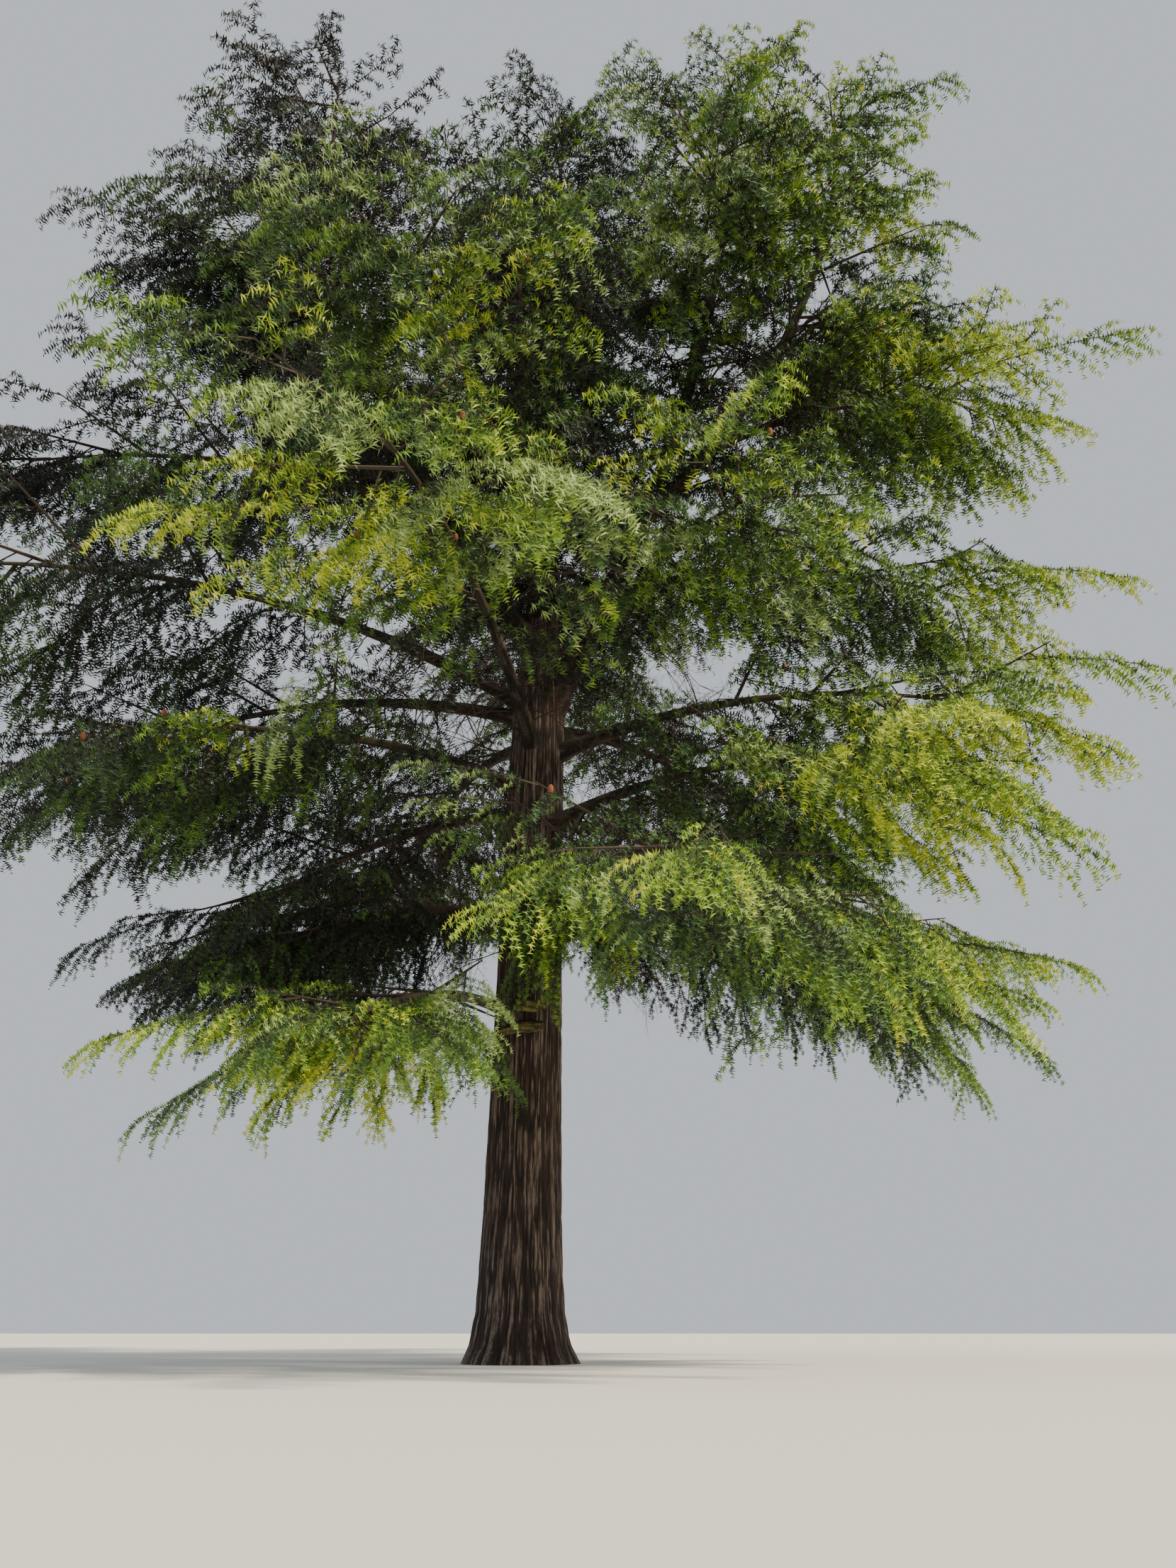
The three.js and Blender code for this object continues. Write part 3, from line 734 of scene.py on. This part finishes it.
BARE_LENGTHS, BARE_SIDES, BARE_RISES = (0.6, 1.7), (45, 100), (-30, 30)
BARE_SCATTER, BARE_THINNING, BARE_TAPER, FORKS_A_STEP = 0.08, 0.75, 0.8, 2
FORK_LENGTHS, FORK_THICK = (0.25, 0.5), 0.4
FINER_SHARES, FINER_LENGTHS, FINER_THICK = (0.35, 0.65), (0.3, 0.5), 0.6
SCATTER = 0.6
TWIG_ASKEW = np.array([0.31, 0.24, 0.92])


def spray_columns(table):
    """Root, way ahead, side, above and length of the sprays in a table."""
    return table[:, 0:3], table[:, 3:6], table[:, 6:9], table[:, 9:12], table[:, 12:13]


def spray_axis(table, share):
    root, ahead, _, above, length = spray_columns(table)
    return root + length * (share * ahead - SPRAY_SAG * share * share * above)


def spray_way(table, share):
    _, ahead, _, above, _ = spray_columns(table)
    return unit(ahead - 2 * SPRAY_SAG * share * above)


def numbered(counts):
    """For each thing its owner's number, its own number within the owner, and how many the owner has."""
    owner = np.repeat(np.arange(len(counts)), counts)
    first = np.cumsum(counts) - counts
    return owner, np.arange(len(owner)) - first[owner], counts[owner]


def shoot_point(start, way, end, size, share):
    return start + size * (share * way + 0.5 * share * share * (end - way))


def three_spokes(way):
    """Three ways out of a twig's axis, first across a fixed slanting way that no twig takes."""
    across = unit(np.cross(way, TWIG_ASKEW))
    third = np.cross(way, across)
    turn = np.arange(3) / 3 * 2 * math.pi
    return across[:, None] * np.cos(turn)[None, :, None] + third[:, None] * np.sin(turn)[None, :, None]


def prisms(starts, ends, thick, thin):
    """Three-sided twigs from starts to ends, as quads."""
    ring = three_spokes(unit(ends - starts))
    vertices = np.concatenate([starts[:, None] + ring * thick, ends[:, None] + ring * thin], axis=1)
    base = np.arange(len(starts))[:, None] * 6
    quads = np.stack([base + [k, (k + 1) % 3, (k + 1) % 3 + 3, k + 3] for k in range(3)], axis=1)
    return vertices.reshape(-1, 3), quads.reshape(-1, 4)


def spikes(starts, ends, thick):
    """Three-sided twigs that run out to a point, as triangles."""
    ring = three_spokes(unit(ends - starts))
    vertices = np.concatenate([starts[:, None] + ring * thick, ends[:, None]], axis=1)
    base = np.arange(len(starts))[:, None] * 4
    triangles = np.stack([base + [k, (k + 1) % 3, 3] for k in range(3)], axis=1)
    return vertices.reshape(-1, 3), triangles.reshape(-1, 3)


spray_side, spray_length = sprays[:, 6:9], sprays[:, 12:]
finger_spray, k, of = numbered(
    np.clip(np.round(spray_length[:, 0] / FINGER_GAP), FEWEST_FINGERS, MOST_FINGERS).astype(int))
on = sprays[finger_spray]
part = (k + 0.5) / of
shift = chance.uniform(-FINGER_SHIFT, FINGER_SHIFT, len(k))
finger_share = (FINGER_FOOT + FINGER_RUN * part + shift)[:, None]
angle = np.radians(FINGER_OPEN - FINGER_CLOSING * part + chance.normal(0, FINGER_STRAY, len(k)))[:, None]
hand = np.where(k % 2, 1.0, -1.0)[:, None]
finger_root = spray_axis(on, finger_share)
finger_way = np.cos(angle) * spray_way(on, finger_share) + hand * np.sin(angle) * spray_side[finger_spray]
finger_way = unit(finger_way + chance.normal(0, FINGER_SCATTER, finger_way.shape))
finger_end = unit(finger_way + np.array([0, 0, -FINGER_DROOP]))
breadth = np.sin(math.pi * (SPRAY_BELLY_FOOT + SPRAY_BELLY_RUN * finger_share)) ** SPRAY_BELLY_ROUND
finger_size = FINGER_LENGTH * spray_length[finger_spray] * breadth
finger_size = np.maximum(finger_size * chance.uniform(*FINGER_SIZES, finger_size.shape), LEAST_FINGER)

twig_parts = []
for i, limb in enumerate(limbs.values()):
    share = np.linspace(limb["bare"], 1, STEM_ROWS)
    taper = (1 - (share - limb["bare"]) / (1 - limb["bare"])) ** STEM_TAPER
    radius = STEM_END + (limb["tip"] - STEM_END) * taper
    twig_parts.append(bent_tube(
        limb["arc"], share, radius, STEM_AROUND, STEM_FISSURE, TWIG_STRIP_WIDTH, seed=90 + i)[:2])
for arc in twig_arcs:
    share = np.linspace(0, 1, TWIG_ROWS)
    radius = TWIG_END + TWIG_SWELL * (1 - share)
    twig_parts.append(bent_tube(arc, share, radius, TWIG_AROUND, 0.0, TWIG_STRIP_WIDTH, seed=130)[:2])
for k in range(AXIS_STEPS):
    starts, ends = spray_axis(sprays, k / AXIS_STEPS), spray_axis(sprays, (k + 1) / AXIS_STEPS)
    thick, thin = AXIS_THICK - AXIS_THINNING * k, AXIS_THICK - AXIS_THINNING * (k + 1)
    twig_parts.append(prisms(starts, ends, thick, thin))
bare_runs, bare_forks = [], []


def fork(start, way, length, thick):
    """A straight side twig, with two finer ones on it."""
    bare_forks.append([*start, *(start + way * length), thick])
    for share in FINER_SHARES:
        finer = unit(way + chance.normal(0, SCATTER, 3)) * length * chance.uniform(*FINER_LENGTHS)
        foot = start + way * length * share
        bare_forks.append([*foot, *(foot + finer), FINER_THICK * thick])


def bare_twig(start, way, length, thick):
    """A leafless twig that droops as it runs out and forks to both sides."""
    point = start
    for step in range(BARE_STEPS):
        way = unit(way + chance.normal(0, BARE_SCATTER, 3) + [0, 0, -BARE_DROOP])
        onward = point + way * length / BARE_STEPS
        bare_runs.append([*point, *onward, thick * (1 - BARE_THINNING * step / BARE_STEPS)])
        for _ in range(FORKS_A_STEP):
            side_way = unit(way + chance.normal(0, SCATTER, 3))
            fork(onward, side_way, length * chance.uniform(*FORK_LENGTHS), FORK_THICK * thick)
        point = onward


for limb in limbs.values():
    if limb["spire"] or "leafless" in limb:
        continue
    for k in range(BARE_TWIGS):
        share = limb["bare"] * (BARE_FOOT + (1 - BARE_FOOT) * (k + 0.5) / BARE_TWIGS)
        side = chance.choice([-1, 1]) * chance.uniform(*BARE_SIDES)
        way = direction(limb["arc"].heading(share) + side, chance.uniform(*BARE_RISES))
        bare_twig(limb["arc"].point(share), way, chance.uniform(*BARE_LENGTHS), BARE_THICK)
starts, ends, thick = np.split(np.array(bare_runs), [3, 6], axis=1)
twig_parts.append(prisms(starts, ends, thick[:, None], BARE_TAPER * thick[:, None]))
starts, ends, thick = np.split(np.array(bare_forks), [3, 6], axis=1)
finger_tip = shoot_point(finger_root, finger_way, finger_end, finger_size, FINGER_TIP)
fine_parts = [spikes(finger_root, finger_tip, FINGER_THICK), spikes(starts, ends, thick[:, None])]
twig_bark = plain_material("cedar twig bark", TWIG_BARK, 0.85)
for name, parts in (("twigs", twig_parts), ("fine_twigs", fine_parts)):
    made = mesh_object(name, *join_parts(parts), [twig_bark])
    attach(made, "root")


# Needles
# Stiff needles 3 to 5 cm long stand all round every shoot and lean forward, so that each shoot is a
# drooping bottle brush. Their greens are painted light and shade: sprays are yellow-green where the sun
# falls and deep green in the shade and deep in the crown, shoots deeper inside a spray are painted darker
# as shade, and some front sprays carry a blue bloom. The needles here are larger than life, the more so the
# higher they stand, for the count.
PAIRS_AND_REACH = {
    "low": (54, 0.044), "weeping": (36, 0.055), "broad": (27, 0.065), "shoulder": (25, 0.069),
    "upper": (26, 0.069), "leader": (24, 0.073),
}
NEEDLE_LEAN, NEEDLE_WIDTH, FEWEST_PAIRS, MOST_PAIRS = 0.3, 0.07, 4, 26
NEEDLE_FOOT, NEEDLE_LONGEST, NEEDLE_SHORTENING = 0.3, 1.05, 0.35
NEEDLE_LENGTHS, NEEDLE_LEANS, NEEDLE_ASKEW = (0.8, 1.15), (0.6, 1.4), np.array([0.23, 0.31, 0.92])
NEEDLE_ROUGHNESS = 0.62
AXIS_SHOOTS, AXIS_FOOT, AXIS_SPAN, AXIS_DROOP, OUTER_HALF = 5, 0.16, 0.84, 0.2, 0.55
SIDE_SHOOT_GAP, MOST_SIDE_SHOOTS, SIDE_SHOOT_SIZES = 0.13, 5, (0.14, 0.36)
SIDE_SHOOT_FOOT, SIDE_SHOOT_RUN, SIDE_SHOOT_OPEN, SIDE_SHOOT_SCATTER = 0.6, 0.8, 0.8, 0.25
SIDE_SHOOT_DROOP, SIDE_SHOOT_HANG, SIDE_SHOOT_PART, SIDE_SHOOT_LENGTHS = 0.5, 2.2, 0.55, (0.7, 1.3)
TIP_FROM, SIDE_TIP_FROM = 0.5, 0.45
START, WAY, END, SIZE, SPRAY, OUTER = slice(0, 3), slice(3, 6), slice(6, 9), slice(9, 10), 10, 11
# Painted light and shade on the needles, spray by spray: lighter on the sunny right, on the near side and
# towards the crown's outside, darker by a set amount all over and on the shaded upper left.
CROWN_REACH, CROWN_DEPTH = 8.5, 8
SUNNY_SIDE, LIT_NEAR_SIDE, LIT_OUTSIDE, INNER_EDGE, OVERALL_SHADE = 0.42, 0.22, 0.55, 0.55, 0.08
SHADY_TOP, SHADY_FROM, SHADY_SPAN = 0.4, 11, 6
LIGHT_SCATTER = 0.09
# Waves of light and shade through the crown: radians a metre in x and z, then in y and z, shift and depth.
LIGHT_WAVES = [(0.9, 1.3, 1.1, -0.7, 1, 0.2), (2.4, 1.9, 2.1, -2.6, 2, 0.17)]
# Places where the sun falls on the foliage: their middle, how far they spread, and how bright they are.
LIT_PLACES = [
    (-0.9, -4.6, 7.8, 2.2, 0.26), (-2.2, -4.5, 7.0, 1.2, 0.5), (-1.3, -2.9, 3.2, 1.7, 0.58),
    (2.2, -3.2, 9.0, 1.6, 0.26), (6.0, -2.5, 11.0, 2.2, 0.28), (5.9, -1.5, 6.8, 1.5, 0.36),
    (4.1, -3.0, 4.6, 1.4, 0.42), (-3.2, -3.0, 6.3, 1.2, 0.3), (3.3, -0.5, 18.8, 2.0, 0.56),
    (0.9, -3.5, 14.4, 1.1, 0.5), (-0.65, -3.5, 11.5, 2.4, 0.26), (0.1, -1.9, 4.2, 1.1, 0.45),
]
LIGHT_STEPS = [-0.36, -0.16, 0.02, 0.18, 0.34, 0.52]
# Needle tones from darkest to lightest green, dealt spray by spray by the painted light and shade above and
# a little at random: the darker ones are painted shade, the lighter ones painted sunlight. The two bloom
# tones are the needles' blue wax.
TONES = {
    "deep": "#0b1207", "dark": "#15250c", "green": "#263f12", "mid": "#3c5e17", "fresh and lit": "#5a7d1c",
    "sunlit": "#7f9c1e", "tip": "#b0bc2e", "bloom": "#40602c", "bloom tip": "#8ba257",
}
DEEP, DARK, MID, TIP, BLOOM, BLOOM_TIP = 0, 1, 3, 6, 7, 8
SHADE_INWARD = np.array([-3, -1, 0])
LIGHTER_SHARE, BLOOM_HEIGHT, BLOOM_SHARES, BLOOM_LIGHT = 0.35, 9, (0.25, 0.4), 0.45
BLOOM_FRONT, BLOOM_BREADTH = -1.2, 3

shoots = []


def add_shoots(start, way, end, size, spray, outer):
    """Shoots start one way and bend to another. Outer runs from 0, deep inside a spray, to 2 at its tips."""
    outer = np.broadcast_to(outer, len(start))
    shoots.append(np.hstack([start, way, end, size, spray[:, None], outer[:, None]]))


for k in range(AXIS_SHOOTS):
    share = AXIS_FOOT + AXIS_SPAN * k / AXIS_SHOOTS
    way = spray_way(sprays, share)
    end = unit(way + [0, 0, -AXIS_DROOP])
    size = spray_length * AXIS_SPAN / AXIS_SHOOTS
    add_shoots(spray_axis(sprays, share), way, end, size, np.arange(len(sprays)), max(0, k - 2))
bent = unit(finger_way + finger_end)
middle = shoot_point(finger_root, finger_way, finger_end, finger_size, 0.5)
near_tip = 1 + (finger_share[:, 0] > TIP_FROM)
add_shoots(finger_root, finger_way, bent, finger_size / 2, finger_spray, 0)
add_shoots(middle, bent, finger_end, finger_size * OUTER_HALF, finger_spray, near_tip)
finger, k, of = numbered(
    np.clip(np.round(finger_size[:, 0] / SIDE_SHOOT_GAP), 1, MOST_SIDE_SHOOTS).astype(int))
share = ((k + SIDE_SHOOT_FOOT) / of * SIDE_SHOOT_RUN)[:, None]
start = shoot_point(finger_root[finger], finger_way[finger], finger_end[finger], finger_size[finger], share)
across = np.cross(sprays[finger_spray[finger], 9:12], finger_way[finger])
way = finger_way[finger] + np.where(k % 2, SIDE_SHOOT_OPEN, -SIDE_SHOOT_OPEN)[:, None] * across
way = unit(way + chance.normal(0, SIDE_SHOOT_SCATTER, way.shape) + [0, 0, -SIDE_SHOOT_DROOP])
end = unit(way + [0, 0, -SIDE_SHOOT_HANG])
size = SIDE_SHOOT_PART * finger_size[finger] * chance.uniform(*SIDE_SHOOT_LENGTHS, (len(k), 1))
size = np.clip(size, *SIDE_SHOOT_SIZES)
add_shoots(start, way, end, size, finger_spray[finger], 1 + (share[:, 0] > SIDE_TIP_FROM))
shoots = np.concatenate(shoots)
owner = shoots[:, SPRAY].astype(int)

# Painted light and shade: each spray's tone is set by where it stands, by the sides, by waves of painted
# light and shade and by the lit places above, with some random scatter.
spray_x, spray_y, spray_z = (sprays[:, 0:3] + 0.5 * spray_length * sprays[:, 3:6]).T
outward = np.hypot(spray_x, spray_y) / CROWN_REACH
patches = np.zeros(len(sprays))
for x_wave, z_wave, y_wave, cross_wave, shift, depth in LIGHT_WAVES:
    wave = np.sin(x_wave * spray_x + z_wave * spray_z)
    patches += wave * np.sin(y_wave * spray_y + cross_wave * spray_z + shift) * depth
light =SUNNY_SIDE * spray_x / CROWN_REACH + LIT_NEAR_SIDE * np.maximum(-spray_y, 0) / CROWN_DEPTH
light = light + LIT_OUTSIDE * (outward - INNER_EDGE) + patches - OVERALL_SHADE
shady_top = SHADY_TOP * np.clip((spray_z - SHADY_FROM) / SHADY_SPAN, 0, 1) * (spray_x < 0)
light = light - shady_top + chance.normal(0, LIGHT_SCATTER, len(sprays))
for lit_x, lit_y, lit_z, breadth, gain in LIT_PLACES:
    apart = (spray_x - lit_x) ** 2 + (spray_y - lit_y) ** 2 + (spray_z - lit_z) ** 2
    light = light + gain * np.exp(-apart / breadth**2)
front = (spray_y < BLOOM_FRONT) & (np.abs(spray_x) < BLOOM_BREADTH)
bloom_share = np.where(spray_z > BLOOM_HEIGHT, BLOOM_SHARES[1], BLOOM_SHARES[0])
bloomy = front & (light < BLOOM_LIGHT) & (chance.random(len(sprays)) < bloom_share)
# Painted shade inside each spray: its deeper shoots take darker tones.
tone = np.digitize(light, LIGHT_STEPS)[owner] + SHADE_INWARD[shoots[:, OUTER].astype(int)]
tone = np.clip(tone + (chance.random(len(shoots)) < LIGHTER_SHARE), DEEP, TIP)
tone = np.where(bloomy[owner] & (tone > DARK), np.where(tone > MID, BLOOM_TIP, BLOOM), tone)

# A needle is waxy, with a soft sheen, and too thin here for a pattern: the tones differ from shoot to shoot.
needle_materials = [plain_material(f"cedar needles {name}", colour, NEEDLE_ROUGHNESS)
                    for name, colour in TONES.items()]


def needle_mesh(part, per_metre, needle_reach, seed):
    """Vertices and triangles of shoots, and the shoot of each triangle. Each triangle is a pair of needles,
    from tip to tip across the shoot's axis."""
    rng = np.random.default_rng(seed)
    pairs = np.clip(np.round(per_metre * part[:, SIZE][:, 0]), FEWEST_PAIRS, MOST_PAIRS).astype(int)
    shoot, k, of = numbered(pairs)
    start, way, end, size = part[shoot, START], part[shoot, WAY], part[shoot, END], part[shoot, SIZE]
    t = ((k + NEEDLE_FOOT) / of)[:, None]
    axis = shoot_point(start, way, end, size, t)
    ahead = unit((1 - t) * way + t * end)
    across = unit(np.cross(way, NEEDLE_ASKEW))
    third = np.cross(way, across)
    turn = (np.radians(GOLDEN_ANGLE) * k + rng.uniform(0, 2 * math.pi, len(part))[shoot])[:, None]
    spoke = across * np.cos(turn) + third * np.sin(turn)
    shorter = NEEDLE_LONGEST - NEEDLE_SHORTENING * t[:, None]
    reach = needle_reach * shorter * rng.uniform(*NEEDLE_LENGTHS, (len(k), 2, 1))
    lean = NEEDLE_LEAN * reach * rng.uniform(*NEEDLE_LEANS, (len(k), 2, 1))
    tips = axis[:, None] + reach * np.stack([spoke, -spoke], axis=1) + lean * ahead[:, None]
    back = axis - NEEDLE_WIDTH * needle_reach * ahead
    corners = np.concatenate([tips, back[:, None]], axis=1)
    return corners.reshape(-1, 3), np.arange(len(k) * 3).reshape(-1, 3), shoot


def foliage_node(limb_name):
    return "foliage_" + ("leader_middle" if limb_name == "trunk" else limb_name.replace("bough_", ""))


order = list(limbs)
families = {tier: [name for name in limbs if name.startswith(f"bough_{tier}")] for tier in TIERS}
families["leader"] = [name for name in limbs if not name.startswith("bough")]
seed = 300
for family, names in families.items():
    for half in (0, 1):
        members = names[half::2]
        seed += 1
        chosen = np.isin(spray_of[owner], [order.index(name) for name in members])
        vertices, triangles, shoot = needle_mesh(shoots[chosen], *PAIRS_AND_REACH[family], seed)
        made = mesh_object(f"needles_{family}_{half + 1}", vertices, triangles, needle_materials,
                           tone[chosen][shoot])
        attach(made, "root")
        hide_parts(*[foliage_node(name) for name in members])


# Cones
# Barrel cones 8 to 10 cm long stand upright on the upper side of the outer branchlets, a few on each bough.
# Ripe ones are a matt reddish brown, with darker seams between their thin woody scales.
CONES, CONE_ROWS, CONE_AROUND = 54, 13, 12
CONE_LENGTHS, CONE_GIRTH, CONE_END = (0.08, 0.105), 0.27, 0.001
BARREL_FOOT, BARREL_RUN, BARREL_ROUND = 0.08, 0.86, 0.55
SCALE_TURNS, SCALE_ROWS, SCALE_DEPTH = 3, 4, 0.06
CONE_RIPE, CONE_SEAM, CONE_ROUGHNESS = "#9a5a2c", "#4f2c17", 0.8
# The seams are drawn 14 mm apart. Real ones are about 5 mm apart, which would not show from here.
SEAM_SCALE, SEAM_WANDER = 22.0, 1.5
NEAREST_TRUNK, LOWEST_CONE, HIGHEST_CONE, STEEPEST = 3.2, 4.5, 15, -0.75
CONE_SHARE = 0.55

cone_bark, tree, shader = new_material("ripe cedar cone")
place = add_node(tree, "ShaderNodeTexCoord")
seams = add_node(tree, "ShaderNodeTexWave",
                 {"bands_direction": "Z", "Scale": SEAM_SCALE, "Distortion": SEAM_WANDER},
                 {"Vector": place.outputs["Object"]})
cone_colour = add_node(tree, "ShaderNodeValToRGB", links={"Fac": seams.outputs["Fac"]})
cone_colour.color_ramp.elements[0].color = linear(CONE_SEAM)
cone_colour.color_ramp.elements[1].color = linear(CONE_RIPE)
tree.links.new(cone_colour.outputs["Color"], shader.inputs["Base Color"])
shader.inputs["Roughness"].default_value = CONE_ROUGHNESS

far_out = np.hypot(spray_x, spray_y) > NEAREST_TRUNK
bearing = far_out & (spray_z > LOWEST_CONE) & (spray_z < HIGHEST_CONE) & (sprays[:, 5] > STEEPEST)
bearing = chance.choice(np.flatnonzero(bearing), CONES, replace=False)
feet = spray_axis(sprays[bearing], CONE_SHARE)
up = np.tile([0.0, 0.0, 1.0], (CONE_ROWS, 1))
east = np.tile([1.0, 0.0, 0.0], (CONE_ROWS, 1))
rise = np.linspace(0, 1, CONE_ROWS)
around = np.arange(CONE_AROUND)[None] / CONE_AROUND
spiral = np.cos(2 * math.pi * (SCALE_TURNS * around + SCALE_ROWS * rise[:, None]))
cone_parts = []
for foot, length in zip(feet, chance.uniform(*CONE_LENGTHS, CONES)):
    barrel = CONE_GIRTH * length * np.sin(math.pi * (BARREL_FOOT + BARREL_RUN * rise)) ** BARREL_ROUND
    radii = barrel[:, None] * (1 + SCALE_DEPTH * spiral)
    radii[[0, -1]] = CONE_END
    centres = foot + up * (rise * length)[:, None]
    cone_parts.append(tube(centres, up, east, radii))
cone_mesh = mesh_object("cones", *join_parts(cone_parts), [cone_bark], smooth=True)
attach(cone_mesh, "root")


# Stage
# A plain pale floor level with the tree's foot, soft light from the upper right, and the camera low down
# and tilted up, as someone would stand below the tree.
FLOOR, FLOOR_SIZE = "#dcd9d2", 160
SKY, SKY_STRENGTH = "#e3e9f0", 0.8
CAMERA, TILT, LENS, SENSOR = (0.75, -14.5, 0.35), 24, 28.06, 36

bpy.ops.mesh.primitive_plane_add(size=FLOOR_SIZE, location=(0, 0, 0))
floor = bpy.context.object
floor.name = "floor"
floor.data.materials.append(plain_material("pale floor", FLOOR, 0.9))

world = bpy.data.worlds.new("soft sky")
world.use_nodes = True
sky = world.node_tree.nodes["Background"]
sky.inputs["Color"].default_value = linear(SKY)
sky.inputs["Strength"].default_value = SKY_STRENGTH
bpy.context.scene.world = world


def lamp(name, azimuth, elevation, strength, softness, colour):
    light = bpy.data.lights.new(name, "SUN")
    light.energy, light.angle, light.color = strength, math.radians(softness), linear(colour)[:3]
    made = bpy.data.objects.new(name, light)
    made.rotation_euler = (math.radians(90 - elevation), 0, math.radians(azimuth + 90))
    bpy.context.scene.collection.objects.link(made)


lamp("key", azimuth=-24, elevation=44, strength=6.0, softness=5, colour="#fff0d2")
lamp("fill", azimuth=-150, elevation=30, strength=0.5, softness=30, colour="#e6efff")

camera = bpy.data.objects.new("camera", bpy.data.cameras.new("camera"))
camera.data.sensor_width = SENSOR
camera.data.lens = LENS
camera.location = CAMERA
camera.rotation_euler = (math.radians(90 + TILT), 0, 0)
bpy.context.scene.collection.objects.link(camera)
bpy.context.scene.camera = camera
